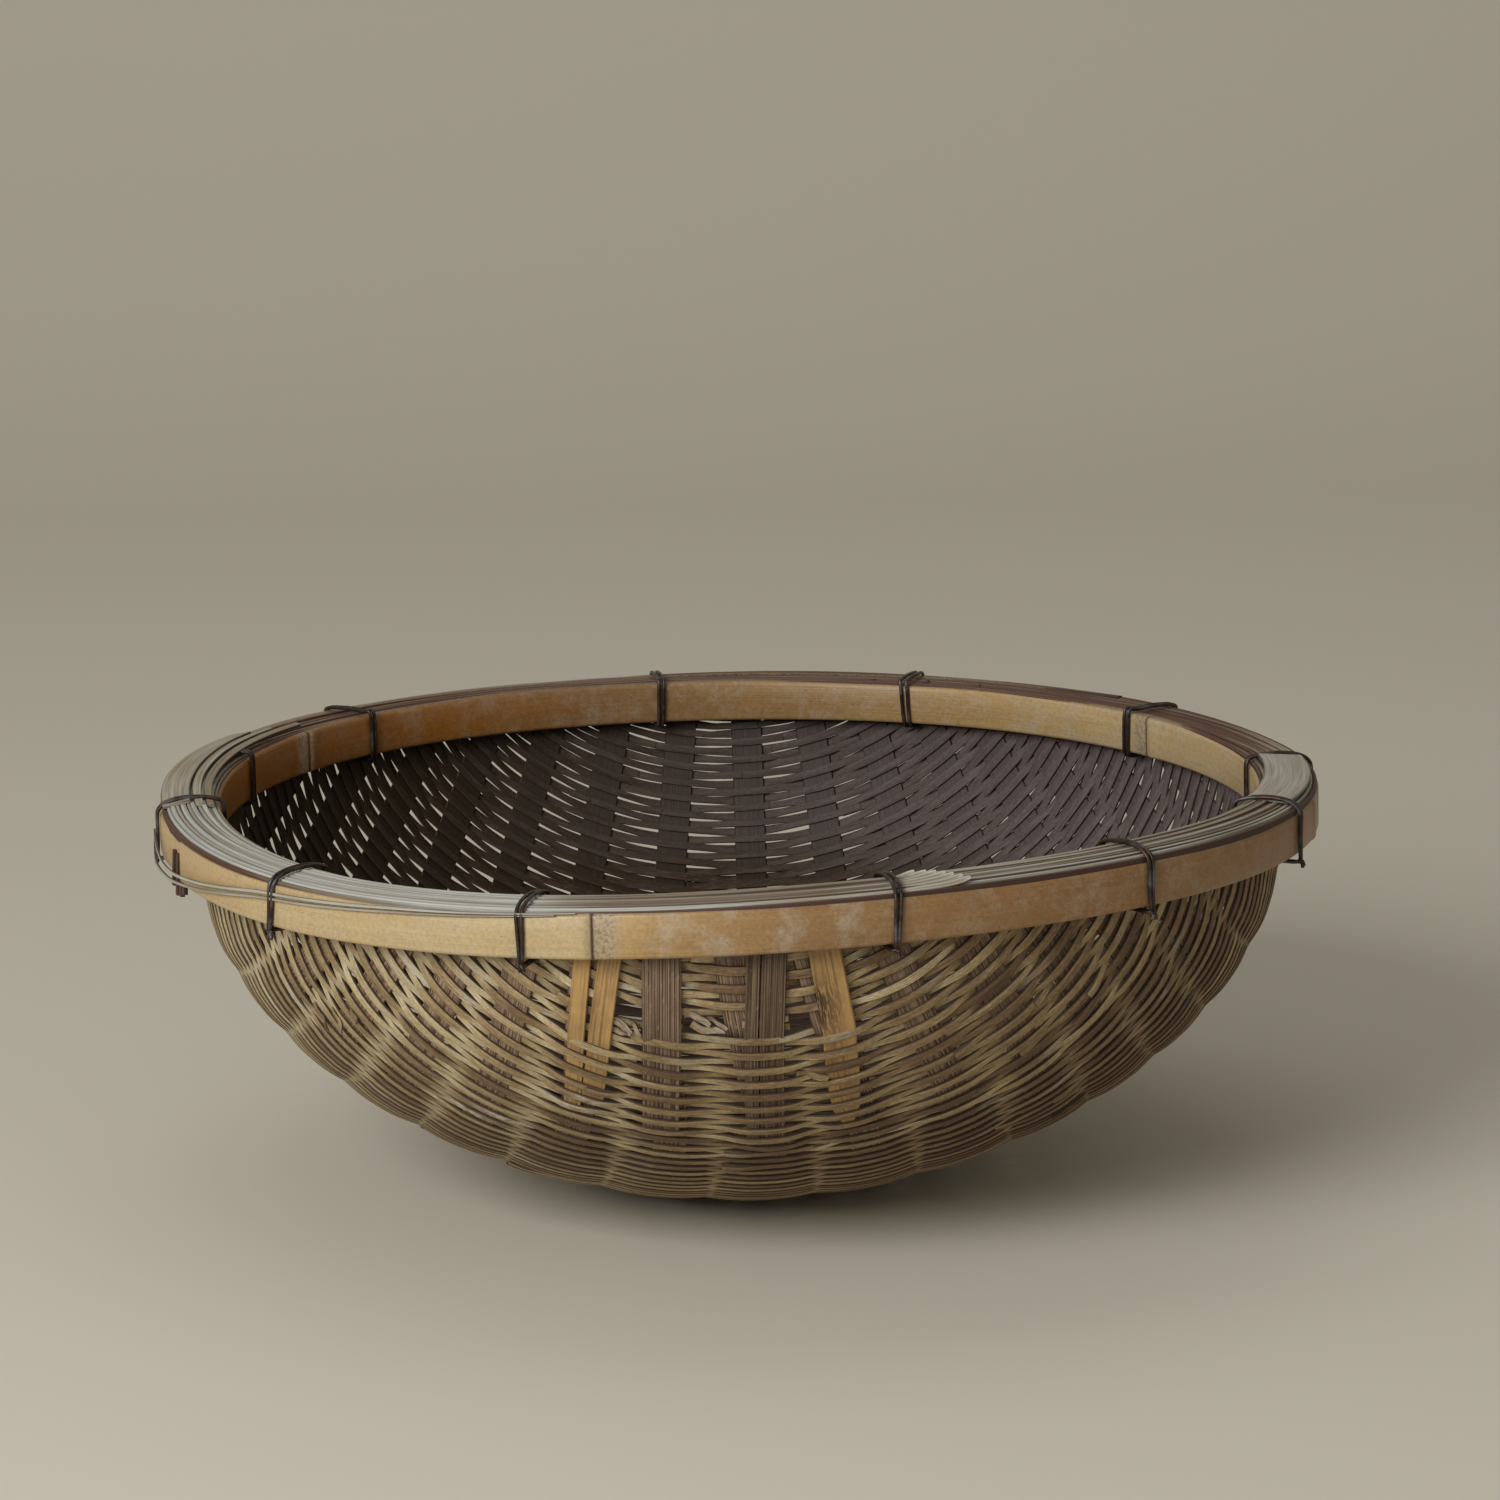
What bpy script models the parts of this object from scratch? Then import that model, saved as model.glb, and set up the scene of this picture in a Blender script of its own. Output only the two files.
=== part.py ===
# Round bamboo draining basket: flat ribs, woven wefts, two split hoops and wire ties.
# Metres, +Z up. The origin is on the underside of the middle weft, where the basket stands.
# Run with: blender --background --python part.py

import bpy
import bmesh
import math
from collections import namedtuple
import numpy as np
from mathutils import Matrix
from mathutils import Vector

# Driving sizes of the whole basket
RIM_DIAMETER = 0.340           # over the outer hoop
BASKET_HEIGHT = 0.117          # from the ground to the hoops' top edge
FOOT_RADIUS = 0.030            # the bottom is flat out to here
RIB_FOCUS_HEIGHT = 0.290       # all rib planes meet in a level line this high above the ground
FIT_GAP = 0.0003               # air between pieces that touch

# Ribs: flat split strips that run from the front rim to the back rim
RIB_WIDTH = 0.0096
RIB_WALL = 0.0010
RIB_HEADROOM = 0.0015          # from a plain rib's end up to the hoops' top edge
OUTER_RIB_SHARE = 0.786        # where the outermost rib meets the rim, as a share of the wall's radius
RIB_SLOPE_SHARES = (0.151, 0.301, 0.446, 0.582, 0.712, 0.849, 1.0)

# Rib ends that are folded outward over the wall and hang down the front
FOLD_LENGTH = 0.076            # of the longest, on the middle rib
FOLD_SHARES = {-2: 0.79, -1: 0.87, 0: 1.0, 1: 0.87}
FOLD_HEADROOM = 0.0006         # from the fold's crown up to the hoops' top edge
FOLD_ROOM = 0.0004             # extra air between a hanging end and the wefts under it

# Wefts: thin strips woven over one rib and under the next, each strip three courses long
COURSES_PER_SIDE = 25          # courses from the middle one to the front rim
STRIP_COURSES = (1,) + 16 * (3,) + (1, 1)
WEFT_WALL = 0.0008
WEFT_SIDE_GAP = 0.0007         # air between neighbouring courses
WEFT_HEADROOM = 0.0030         # from the wefts' ends up to the hoops' top edge
FOOT_LANDING = 0.0060          # length of the flat that a weft stands on, under a rib
END_ROOM = 0.0011              # air from a weft's end or turn to a rib that it stops short of
TURN_RUN = 0.0085              # least way from a rib's middle line to a strip's turn
TURN_REACH = 0.0042            # how far the turn bulges past its last course point

# Hoops: one outside the wall and one inside, with a slot between them for the wall
HOOP_HEIGHT = 0.0122
OUTER_HOOP_WALL = 0.0045
INNER_HOOP_WALL = 0.0037
SLOT_WIDTH = 0.0098
HOOP_CHAMFER = 0.0009
MERGE_DISTANCE = 0.00001       # closes each turned ring on itself

# Filler strips: thin strips laid on edge on the hoops, which close the slot
FILLER_HEIGHT = 0.0030         # of the tallest strip

# Ties: doubled wire loops round the whole rim
WIRE_DIAMETER = 0.0012
TIE_TAIL = 0.0070
TIE_CORNER = 0.0022

# Shape shares, angles in degrees and counts
WALL_SHARE_OF_SLOT = 0.46      # where the wall's middle stands in the slot, from the inside
FLOOR_LIFT_SHARE = 2.15        # height of the weave's middle at the foot, in crossing lifts
LANDING_SHARE = 1.2            # wefts stand on flats out to this share of the foot's radius
PROFILE_FULLNESS = 1.50        # powers of the bowl's profile
PROFILE_RISE = 0.49
WEAVE_TURN = 1.2               # the weave is turned a little under the hoops
FILLER_HEIGHT_SHARES = (0.55, 0.80, 1.0, 0.90, 0.60)
TIE_ANGLES = (-139.9, -110.3, -75.8, -48.7, -20.8, 5.0, 37.4, 69.5, 99.3, 138.6, 165.0, 188.0)
HOOP_STEPS = 48
FILLER_STEPS = 48
CURVE_STEPS = 120
BISECTIONS = 40
LIFT_ROUNDS = 8
MOST_FALL_SHARE = 0.7
SLOPE_STEP = 0.01
SHARP_ANGLE = 35
FOLD_ANGLES = (45, 90, 135)
TURN_ANGLES = (50, 90, 130)
REACH_SAMPLES = 90
MOST_RIM_SHARE = 0.999999

# Sizes that follow from the driving sizes
RIM_RADIUS = RIM_DIAMETER / 2
SLOT_OUTER_RADIUS = RIM_RADIUS - OUTER_HOOP_WALL
SLOT_INNER_RADIUS = SLOT_OUTER_RADIUS - SLOT_WIDTH
BORE_RADIUS = SLOT_INNER_RADIUS - INNER_HOOP_WALL
WALL_RADIUS = SLOT_INNER_RADIUS + SLOT_WIDTH * WALL_SHARE_OF_SLOT
HOOP_BOTTOM = BASKET_HEIGHT - HOOP_HEIGHT
HALF_RIB = RIB_WIDTH / 2
CROSSING_LIFT = RIB_WALL / 2 + WEFT_WALL / 2 + FIT_GAP
FLOOR_LIFT = CROSSING_LIFT * FLOOR_LIFT_SHARE + WEFT_WALL / 2
WALL_DROP = BASKET_HEIGHT - FLOOR_LIFT


# Scene and materials

def clear_scene():
    for item in list(bpy.data.objects):
        bpy.data.objects.remove(item, do_unlink=True)


def make_collection(name):
    collection = bpy.data.collections.new(name)
    bpy.context.scene.collection.children.link(collection)
    return collection


def make_material(name, colour, roughness, metallic=0.0):
    material = bpy.data.materials.new(name)
    material.use_nodes = True
    shader = material.node_tree.nodes["Principled BSDF"]
    shader.inputs["Base Color"].default_value = (*colour, 1.0)
    shader.inputs["Roughness"].default_value = roughness
    shader.inputs["Metallic"].default_value = metallic
    material.diffuse_color = (*colour, 1.0)
    return material


# The bowl's middle surface, halfway through the weave

def bowl_height(radius):
    share = np.clip((radius - FOOT_RADIUS) / (WALL_RADIUS - FOOT_RADIUS), 0.0, 1.0)
    return BASKET_HEIGHT - WALL_DROP * (1 - share ** PROFILE_FULLNESS) ** PROFILE_RISE


def bowl_outward(point):
    """Unit normal of the middle surface, pointing out of the bowl."""
    radius = math.hypot(point.x, point.y)
    share = (radius - FOOT_RADIUS) / (WALL_RADIUS - FOOT_RADIUS)
    if share <= 0:
        return Vector((0, 0, -1))
    share = min(share, MOST_RIM_SHARE)
    rest = 1 - share ** PROFILE_FULLNESS
    steepness = PROFILE_RISE * rest ** (PROFILE_RISE - 1) * PROFILE_FULLNESS * share ** (PROFILE_FULLNESS - 1)
    steepness *= WALL_DROP / (WALL_RADIUS - FOOT_RADIUS)
    return Vector((steepness * point.x / radius, steepness * point.y / radius, -1)).normalized()


curve_cache = {}


def plane_curve(slope):
    """Half of the line where a rib plane meets the bowl, from y = 0 to the rim."""
    if slope not in curve_cache:
        end_x = (RIB_FOCUS_HEIGHT - BASKET_HEIGHT) * slope
        end_y = math.sqrt(max(WALL_RADIUS ** 2 - end_x ** 2, 0.0))
        run = np.linspace(0.0, 1.0, CURVE_STEPS + 1)
        y = end_y * (1 - (1 - run) ** 3)
        low = np.zeros_like(y)
        high = np.full_like(y, WALL_RADIUS)
        for _ in range(BISECTIONS):
            middle = (low + high) / 2
            height = bowl_height(np.hypot(middle, y))
            beyond = middle > (RIB_FOCUS_HEIGHT - height) * slope
            high = np.where(beyond, middle, high)
            low = np.where(beyond, low, middle)
        x = (low + high) / 2
        z = bowl_height(np.hypot(x, y))
        steps = np.sqrt(np.diff(x) ** 2 + np.diff(y) ** 2 + np.diff(z) ** 2)
        along = np.concatenate(([0.0], np.cumsum(steps)))
        curve_cache[slope] = (along, x, y, z)
    return curve_cache[slope]


def wall_point(slope, along):
    """Point on the middle surface, on the plane of this slope, this far from the y = 0 line."""
    distance, x, y, z = plane_curve(abs(slope))
    reach = abs(along)
    side_x = math.copysign(1.0, slope)
    side_y = math.copysign(1.0, along)
    return Vector((side_x * np.interp(reach, distance, x), side_y * np.interp(reach, distance, y),
                   np.interp(reach, distance, z)))


def length_to_height(slope, height):
    """Length of the plane's line from y = 0 up to a height; negative where it starts above."""
    distance, _, _, z = plane_curve(abs(slope))
    if z[0] >= height:
        return -1.0
    return float(np.interp(height, z, distance))


def steepest_slope(height):
    """Slope of the plane that touches this height on the y = 0 line."""
    low = 0.0
    high = WALL_RADIUS / (RIB_FOCUS_HEIGHT - BASKET_HEIGHT)
    for _ in range(BISECTIONS):
        middle = (low + high) / 2
        if plane_curve(middle)[3][0] > height:
            high = middle
        else:
            low = middle
    return low


def slope_spread(slope, along):
    """How many metres of wall one unit of slope covers here."""
    return (wall_point(slope + SLOPE_STEP, along) - wall_point(slope, along)).length / SLOPE_STEP


class RimReach:
    """Where a weft at a given distance from the middle meets its end height at the rim."""

    def __init__(self, height):
        limit = steepest_slope(height)
        self.slopes = np.linspace(0.0, limit, REACH_SAMPLES)
        lengths = [length_to_height(slope, height) for slope in self.slopes]
        self.lengths = np.maximum(np.array(lengths), 0.0)

    def slope(self, along):
        return float(np.interp(abs(along), self.lengths[::-1], self.slopes[::-1]))

    def length(self, slope):
        return float(np.interp(abs(slope), self.slopes, self.lengths))


# Strips

def strip_object(name, rails, wall, material, collection):
    """A flat strip between two rails of points, given its thickness by Solidify."""
    build = bmesh.new()
    pairs = [(build.verts.new(left), build.verts.new(right)) for left, right in rails]
    for near, far in zip(pairs, pairs[1:]):
        build.faces.new((near[0], near[1], far[1], far[0]))
    mesh = bpy.data.meshes.new(name)
    build.to_mesh(mesh)
    build.free()
    mesh.materials.append(material)
    mesh.shade_smooth()
    mesh.set_sharp_from_angle(angle=math.radians(SHARP_ANGLE))
    strip = bpy.data.objects.new(name, mesh)
    collection.objects.link(strip)
    solidify = strip.modifiers.new("wall", "SOLIDIFY")
    solidify.thickness = wall
    solidify.offset = 0.0
    strip.rotation_euler = (0.0, 0.0, math.radians(WEAVE_TURN))
    return strip


# Ribs

OUTER_RIB_SLOPE = WALL_RADIUS * OUTER_RIB_SHARE / (RIB_FOCUS_HEIGHT - BASKET_HEIGHT)
RIB_SLOPES = {0: 0.0}
for rib_place, rib_share in enumerate(RIB_SLOPE_SHARES, start=1):
    RIB_SLOPES[rib_place] = OUTER_RIB_SLOPE * rib_share
    RIB_SLOPES[-rib_place] = -OUTER_RIB_SLOPE * rib_share
RIB_PLACES = sorted(RIB_SLOPES)

WEFT_REACH = RimReach(BASKET_HEIGHT - WEFT_HEADROOM)
COURSE_PITCH = WEFT_REACH.length(0.0) / (COURSES_PER_SIDE + 0.5)
WEFT_WIDTH = COURSE_PITCH - WEFT_SIDE_GAP


def rib_knots(place, top):
    """Distances along one half of a rib: its middle, every second course edge, its top."""
    length = length_to_height(RIB_SLOPES[place], top)
    knots = []
    edge = COURSE_PITCH / 2
    while edge < length - COURSE_PITCH / 2:
        knots.append(edge)
        edge += 2 * COURSE_PITCH
    return knots + [length]


def rib_pitch(place):
    """Least distance to the neighbouring ribs, which is found at the rim."""
    slope = RIB_SLOPES[place]
    spread = (RIB_FOCUS_HEIGHT - BASKET_HEIGHT) * math.sqrt(1 + slope ** 2)
    steps = [abs(RIB_SLOPES[near] - slope) for near in (place - 1, place + 1) if near in RIB_SLOPES]
    return min(steps) * spread


def fold_reach(place):
    """Distance from the wall's middle to the middle of a folded end that hangs over the wefts."""
    share = HALF_RIB / rib_pitch(place)
    sag = share * rib_pitch(place) ** 2 / (2 * WALL_RADIUS)
    lift = CROSSING_LIFT / (1 - 2 * share) + sag
    return lift + WEFT_WALL / 2 + FIT_GAP + FOLD_ROOM + RIB_WALL / 2


def rib_top(place, front):
    if front and place in FOLD_SHARES:
        return BASKET_HEIGHT - FOLD_HEADROOM - RIB_WALL / 2 - fold_reach(place) / 2
    return BASKET_HEIGHT - RIB_HEADROOM


def level_end(place, along, top):
    """Edge points of a rib's end, both at the same height, so the end is level with the rim."""
    slope = RIB_SLOPES[place]
    step = HALF_RIB / slope_spread(slope, along)
    return tuple(wall_point(near, math.copysign(length_to_height(near, top), along))
                 for near in (slope - step, slope + step))


def square_edges(place, along):
    """Edge points of a rib, square across its line and level with the wall."""
    slope = RIB_SLOPES[place]
    step = COURSE_PITCH / 2
    course = wall_point(slope, along + step) - wall_point(slope, along - step)
    middle = wall_point(slope, along)
    half = course.cross(bowl_outward(middle)).normalized() * HALF_RIB
    if half.x < 0:
        half = -half
    return middle - half, middle + half


rib_cache = {}


def rib_stations(place):
    """Distances along a rib from its front end to its back end, each with its two edge points."""
    if place not in rib_cache:
        front_top = rib_top(place, True)
        back_top = rib_top(place, False)
        front = rib_knots(place, front_top)
        back = rib_knots(place, back_top)
        stations = [(-front[-1], level_end(place, -front[-1], front_top))]
        stations += [(-along, square_edges(place, -along)) for along in reversed(front[:-1])]
        stations += [(along, square_edges(place, along)) for along in back[:-1]]
        stations.append((back[-1], level_end(place, back[-1], back_top)))
        rib_cache[place] = stations
    return rib_cache[place]


def rib_frame(place, along):
    """Point on a rib's middle line, with its unit directions across the rib and out of the bowl."""
    stations = rib_stations(place)
    upper = next((index for index, item in enumerate(stations) if item[0] >= along), len(stations) - 1)
    upper = max(upper, 1)
    start, start_edges = stations[upper - 1]
    stop, stop_edges = stations[upper]
    share = (along - start) / (stop - start)
    first = (start_edges[0] + start_edges[1]) / 2
    second = (stop_edges[0] + stop_edges[1]) / 2
    left = start_edges[0].lerp(stop_edges[0], share)
    right = start_edges[1].lerp(stop_edges[1], share)
    course = (second - first).normalized()
    outward = (right - left).cross(course).normalized()
    if outward.dot(bowl_outward(first)) < 0:
        outward = -outward
    return first.lerp(second, share), course.cross(outward), outward


def folded_end(place):
    """Rails of a fold: over the top of the wall, then down outside the wefts to the tip."""
    slope = RIB_SLOPES[place]
    reach = fold_reach(place)
    top, crown_edges = rib_stations(place)[0]
    crown = (crown_edges[0] + crown_edges[1]) / 2
    half = (crown_edges[1] - crown_edges[0]) / 2
    outward = bowl_outward(crown)
    upward = (crown - wall_point(slope, top + COURSE_PITCH / 4)).normalized()
    rails = []
    for turned in FOLD_ANGLES:
        angle = math.radians(turned)
        middle = crown + (outward * (1 - math.cos(angle)) + upward * math.sin(angle)) * reach / 2
        rails.append((middle - half, middle + half))
    length = FOLD_LENGTH * FOLD_SHARES[place]
    count = max(round(length / (2 * COURSE_PITCH)), 1)
    for step in range(count + 1):
        along = top + length * step / count
        left, right = square_edges(place, along)
        out = bowl_outward(wall_point(slope, along)) * reach
        rails.append((left + out, right + out))
    return rails


def make_rib(number, place, material, collection):
    rails = [edges for _, edges in rib_stations(place)]
    if place in FOLD_SHARES:
        rails = list(reversed(folded_end(place))) + rails
    return strip_object(f"rib_{number:02d}", rails, RIB_WALL, material, collection)


# Wefts

Station = namedtuple("Station", "base outward across sign fade")


def passes_outside(place, course):
    return (place + course) % 2 == 0


def course_edges(course):
    centre = course * COURSE_PITCH
    return centre - WEFT_WIDTH / 2, centre + WEFT_WIDTH / 2


def outer_edge(course):
    return max(abs(edge) for edge in course_edges(course))


def inner_edge(course):
    return min(abs(edge) for edge in course_edges(course))


def crosses(place, course):
    return WEFT_REACH.length(RIB_SLOPES[place]) >= outer_edge(course)


def last_rib(course, side):
    return max((place for place in RIB_PLACES if crosses(place, course) and place * side >= 0), key=abs)


def pitch_beyond(place, side, along):
    """Distance to the next rib outward, or to the one inward where there is none."""
    following = place + side if place + side in RIB_SLOPES else place - side
    stations = rib_stations(following)
    nearest = max(stations[0][0], min(stations[-1][0], along))
    return (rib_frame(following, nearest)[0] - rib_frame(place, along)[0]).length


def slope_limit(place, side, slope, along, edge):
    """Slope, as a size, that keeps clear of the next rib outward where that rib comes so far."""
    following = place + side
    if following not in RIB_SLOPES:
        return slope
    stations = rib_stations(following)
    nearest = max(stations[0][0], min(stations[-1][0], along))
    across = rib_frame(following, nearest)[1]
    inward = abs(RIB_SLOPES[following]) - SLOPE_STEP
    run = wall_point(RIB_SLOPES[following], nearest) - wall_point(side * inward, nearest)
    spread = abs(run.dot(across)) / SLOPE_STEP
    near_side = abs(RIB_SLOPES[following]) - (HALF_RIB + END_ROOM) / spread
    if length_to_height(near_side, BASKET_HEIGHT) > edge:
        return min(slope, near_side)
    return slope


def turn_place(course, side):
    """The turn from this course to the next: the last rib with room beyond it, its slope and its run."""
    along = (course + 0.5) * COURSE_PITCH
    pair = sorted((course, course + 1), key=abs)
    for place in range(last_rib(pair[1], side), -side, -side):
        spread = slope_spread(RIB_SLOPES[place], along)
        reach = abs(WEFT_REACH.slope(outer_edge(pair[1])))
        limit = slope_limit(place, side, reach, along, inner_edge(pair[0]))
        room = (limit - abs(RIB_SLOPES[place])) * spread
        if room >= TURN_RUN + TURN_REACH:
            break
    return place, side * (limit - TURN_REACH / spread), room - TURN_REACH


def crossing_station(place, course):
    frames = [rib_frame(place, edge) for edge in course_edges(course)]
    across = rib_frame(place, course * COURSE_PITCH)[1]
    sign = 1 if passes_outside(place, course) else -1
    return Station([frame[0] for frame in frames], [frame[2] for frame in frames], across, sign, 0.0)


def wall_station(slopes, edges, sign=1, fade=0.0):
    points = [wall_point(slope, edge) for slope, edge in zip(slopes, edges)]
    return Station(points, [bowl_outward(point) for point in points], None, sign, fade)


def free_end(course, side):
    """Stations past the last rib of a course that ends at the rim, from the rib outward."""
    place = last_rib(course, side)
    centre = course * COURSE_PITCH
    edges = course_edges(course)
    start = abs(RIB_SLOPES[place])
    spread = slope_spread(RIB_SLOPES[place], centre)
    pitch = pitch_beyond(place, side, centre)
    slopes = [slope_limit(place, side, abs(WEFT_REACH.slope(edge)), edge, inner_edge(course))
              for edge in edges]
    run = (min(slopes) - start) * spread
    stations = []
    if run > pitch:
        halfway = side * (start + pitch / 2 / spread)
        stations.append(wall_station((halfway, halfway), edges))
    fade = max(0.0, 1 - 2 * run / pitch)
    sign = 1 if passes_outside(place, course) else -1
    stations.append(wall_station([side * slope for slope in slopes], edges, sign, fade))
    return stations


def turn_start(course, side, turn):
    """Stations from the last rib to the start of a turn."""
    place, slope, run = turn
    edges = course_edges(course)
    stations = []
    if run > pitch_beyond(place, side, course * COURSE_PITCH):
        halfway = (slope + RIB_SLOPES[place]) / 2
        stations.append(wall_station((halfway, halfway), edges))
    stations.append(wall_station((slope, slope), edges))
    return stations


def crossing_lifts(stations):
    """How far each crossing stands off the rib's middle, so that its straight runs clear the rib."""
    lifts = [CROSSING_LIFT if station.across else 0.0 for station in stations]
    for _ in range(LIFT_ROUNDS):
        for index, station in enumerate(stations):
            if station.across is None:
                continue
            need = CROSSING_LIFT
            for near in (index - 1, index + 1):
                other = stations[near]
                for edge in (0, 1):
                    run = other.base[edge] - station.base[edge]
                    share = min(HALF_RIB / abs(run.dot(station.across)), 1.0)
                    rise = run.dot(station.outward[edge]) * station.sign - lifts[near]
                    hold = max(1 - share * (1 - other.fade), 1 - MOST_FALL_SHARE)
                    need = max(need, (CROSSING_LIFT - share * rise) / hold)
            lifts[index] = need
    return lifts


def is_landing(station):
    """Whether a weft passes under a rib inside the foot, where the basket stands on it."""
    middle = (station.base[0] + station.base[1]) / 2
    inside = math.hypot(middle.x, middle.y) < FOOT_RADIUS * LANDING_SHARE
    return station.across is not None and station.sign > 0 and inside


def landing_rails(station):
    """Edge points of the level flat that a weft stands on."""
    rails = []
    for shift in (-FOOT_LANDING / 2, FOOT_LANDING / 2):
        rails.append(tuple(Vector((point.x + shift, point.y, WEFT_WALL / 2)) for point in station.base))
    return rails


def course_rails(course, turns):
    """Edge points of one course from left to right; turns maps a side to that side's turn."""
    stops = {side: turns[side][0] if side in turns else last_rib(course, side) for side in (-1, 1)}
    stations = [crossing_station(place, course) for place in range(stops[-1], stops[1] + 1)]
    for side in (-1, 1):
        ends = turn_start(course, side, turns[side]) if side in turns else free_end(course, side)
        stations = stations + ends if side > 0 else ends[::-1] + stations
    lifts = crossing_lifts(stations)
    rails = []
    for index, station in enumerate(stations):
        lift = lifts[index]
        if station.fade:
            lift = station.fade * lifts[index - 1 if index else 1]
        if is_landing(station):
            rails += landing_rails(station)
        else:
            rails.append(tuple(point + outward * station.sign * lift
                               for point, outward in zip(station.base, station.outward)))
    return rails


def turn_rails(course, side, turn):
    """Edge points of the turn from this course round to the next, on a flat half oval."""
    slope = turn[1]
    along = (course + 0.5) * COURSE_PITCH
    spread = slope_spread(slope, along)
    inner_radius = WEFT_SIDE_GAP / 2
    outer_radius = inner_radius + WEFT_WIDTH
    rails = []
    for turned in TURN_ANGLES:
        angle = math.radians(turned)
        bulge = side * math.sin(angle) / spread
        outer = wall_point(slope + bulge * TURN_REACH, along - outer_radius * math.cos(angle))
        inner = wall_point(slope + bulge * WEFT_SIDE_GAP, along - inner_radius * math.cos(angle))
        rails.append((outer, inner))
    return rails


def turn_side(index):
    """A strip turns first at its right end, then at its left."""
    return 1 if index % 2 == 0 else -1


def strip_courses():
    """Courses of each strip; the shortest courses, by the front and back rims, are strips of one."""
    strips = []
    course = -COURSES_PER_SIDE
    for count in STRIP_COURSES:
        strips.append(list(range(course, course + count)))
        course += count
    return strips


def make_weft(number, courses, material, collection):
    """One strip woven to and fro: its courses, joined by turns at alternate ends."""
    turns = {}
    for index, course in enumerate(courses[:-1]):
        side = turn_side(index)
        turns[course] = (side, turn_place(course, side))
    rails = []
    for index, course in enumerate(courses):
        own = dict(turns[near] for near in (course - 1, course) if near in turns)
        course_points = course_rails(course, own)
        if index % 2 == 1:
            course_points = [(high, low) for low, high in reversed(course_points)]
        rails += course_points
        if course in turns:
            rails += turn_rails(course, *turns[course])
    return strip_object(f"weft_strip_{number:02d}", rails, WEFT_WALL, material, collection)


# Rim

def turned_ring(name, profile, steps, material, collection):
    """A ring turned round Z from a closed profile of (radius, height) points."""
    build = bmesh.new()
    corners = [build.verts.new((radius, 0.0, height)) for radius, height in profile]
    for first, second in zip(corners, corners[1:] + corners[:1]):
        build.edges.new((first, second))
    mesh = bpy.data.meshes.new(name)
    build.to_mesh(mesh)
    build.free()
    mesh.materials.append(material)
    ring = bpy.data.objects.new(name, mesh)
    collection.objects.link(ring)
    screw = ring.modifiers.new("turn", "SCREW")
    screw.axis = "Z"
    screw.angle = math.tau
    screw.steps = steps
    screw.render_steps = steps
    screw.use_merge_vertices = True
    screw.merge_threshold = MERGE_DISTANCE
    screw.use_smooth_shade = True
    return ring


def hoop_profile(inner, outer, bottom, top, chamfer, inner_side):
    """Closed profile down its outer side; one long edge pair is rounded, the other is square."""
    if inner_side:
        return [(outer, top), (outer, bottom), (inner + chamfer, bottom), (inner, bottom + chamfer),
                (inner, top - chamfer), (inner + chamfer, top)]
    return [(outer - chamfer, top), (outer, top - chamfer), (outer, bottom + chamfer),
            (outer - chamfer, bottom), (inner, bottom), (inner, top)]


def make_hoops(material, collection):
    outer = hoop_profile(SLOT_OUTER_RADIUS, RIM_RADIUS, HOOP_BOTTOM, BASKET_HEIGHT, HOOP_CHAMFER, False)
    turned_ring("outer_hoop", outer, HOOP_STEPS, material, collection)
    inner = hoop_profile(BORE_RADIUS, SLOT_INNER_RADIUS, HOOP_BOTTOM, BASKET_HEIGHT, HOOP_CHAMFER, True)
    turned_ring("inner_hoop", inner, HOOP_STEPS, material, collection)


def make_fillers(material, collection):
    """Strips on edge, side by side from the outer hoop's face to the inner hoop's."""
    count = len(FILLER_HEIGHT_SHARES)
    width = (RIM_RADIUS - BORE_RADIUS - 2 * HOOP_CHAMFER - (count - 1) * FIT_GAP) / count
    bottom = BASKET_HEIGHT + FIT_GAP
    for index, share in enumerate(FILLER_HEIGHT_SHARES):
        outer = RIM_RADIUS - HOOP_CHAMFER - index * (width + FIT_GAP)
        inner = outer - width
        top = bottom + FILLER_HEIGHT * share
        profile = [(outer, top), (outer, bottom), (inner, bottom), (inner, top)]
        turned_ring(f"rim_filler_{index + 1}", profile, FILLER_STEPS, material, collection)


# Ties

def tie_path():
    """Points (radius, sideways, height) of a doubled wire loop with its two tails."""
    strand = WIRE_DIAMETER + FIT_GAP
    stand_off = WIRE_DIAMETER / 2 + FIT_GAP
    outer = RIM_RADIUS + stand_off
    inner = BORE_RADIUS - stand_off
    low = HOOP_BOTTOM - stand_off
    shoulder = BASKET_HEIGHT + FIT_GAP + FILLER_HEIGHT * FILLER_HEIGHT_SHARES[0] + stand_off
    crown = BASKET_HEIGHT + FIT_GAP + FILLER_HEIGHT + stand_off
    corner = TIE_CORNER
    left = -strand / 2
    right = strand / 2
    path = [(outer + stand_off, left, low - TIE_TAIL), (outer + stand_off, left, low - strand)]
    for side, bottom in ((left, low), (right, low - strand)):
        path += [(outer, side, low + corner), (outer, side, shoulder - corner / 2),
                 (outer - corner, side, crown), (inner + corner, side, crown),
                 (inner, side, shoulder), (inner, side, low + corner / 2),
                 (inner + corner / 2, side, bottom)]
        path.append((outer - corner / 2, right, bottom))
    path += [(outer + stand_off, right, low - 2 * strand - FIT_GAP),
             (outer + stand_off, right, low - TIE_TAIL)]
    return path


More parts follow.
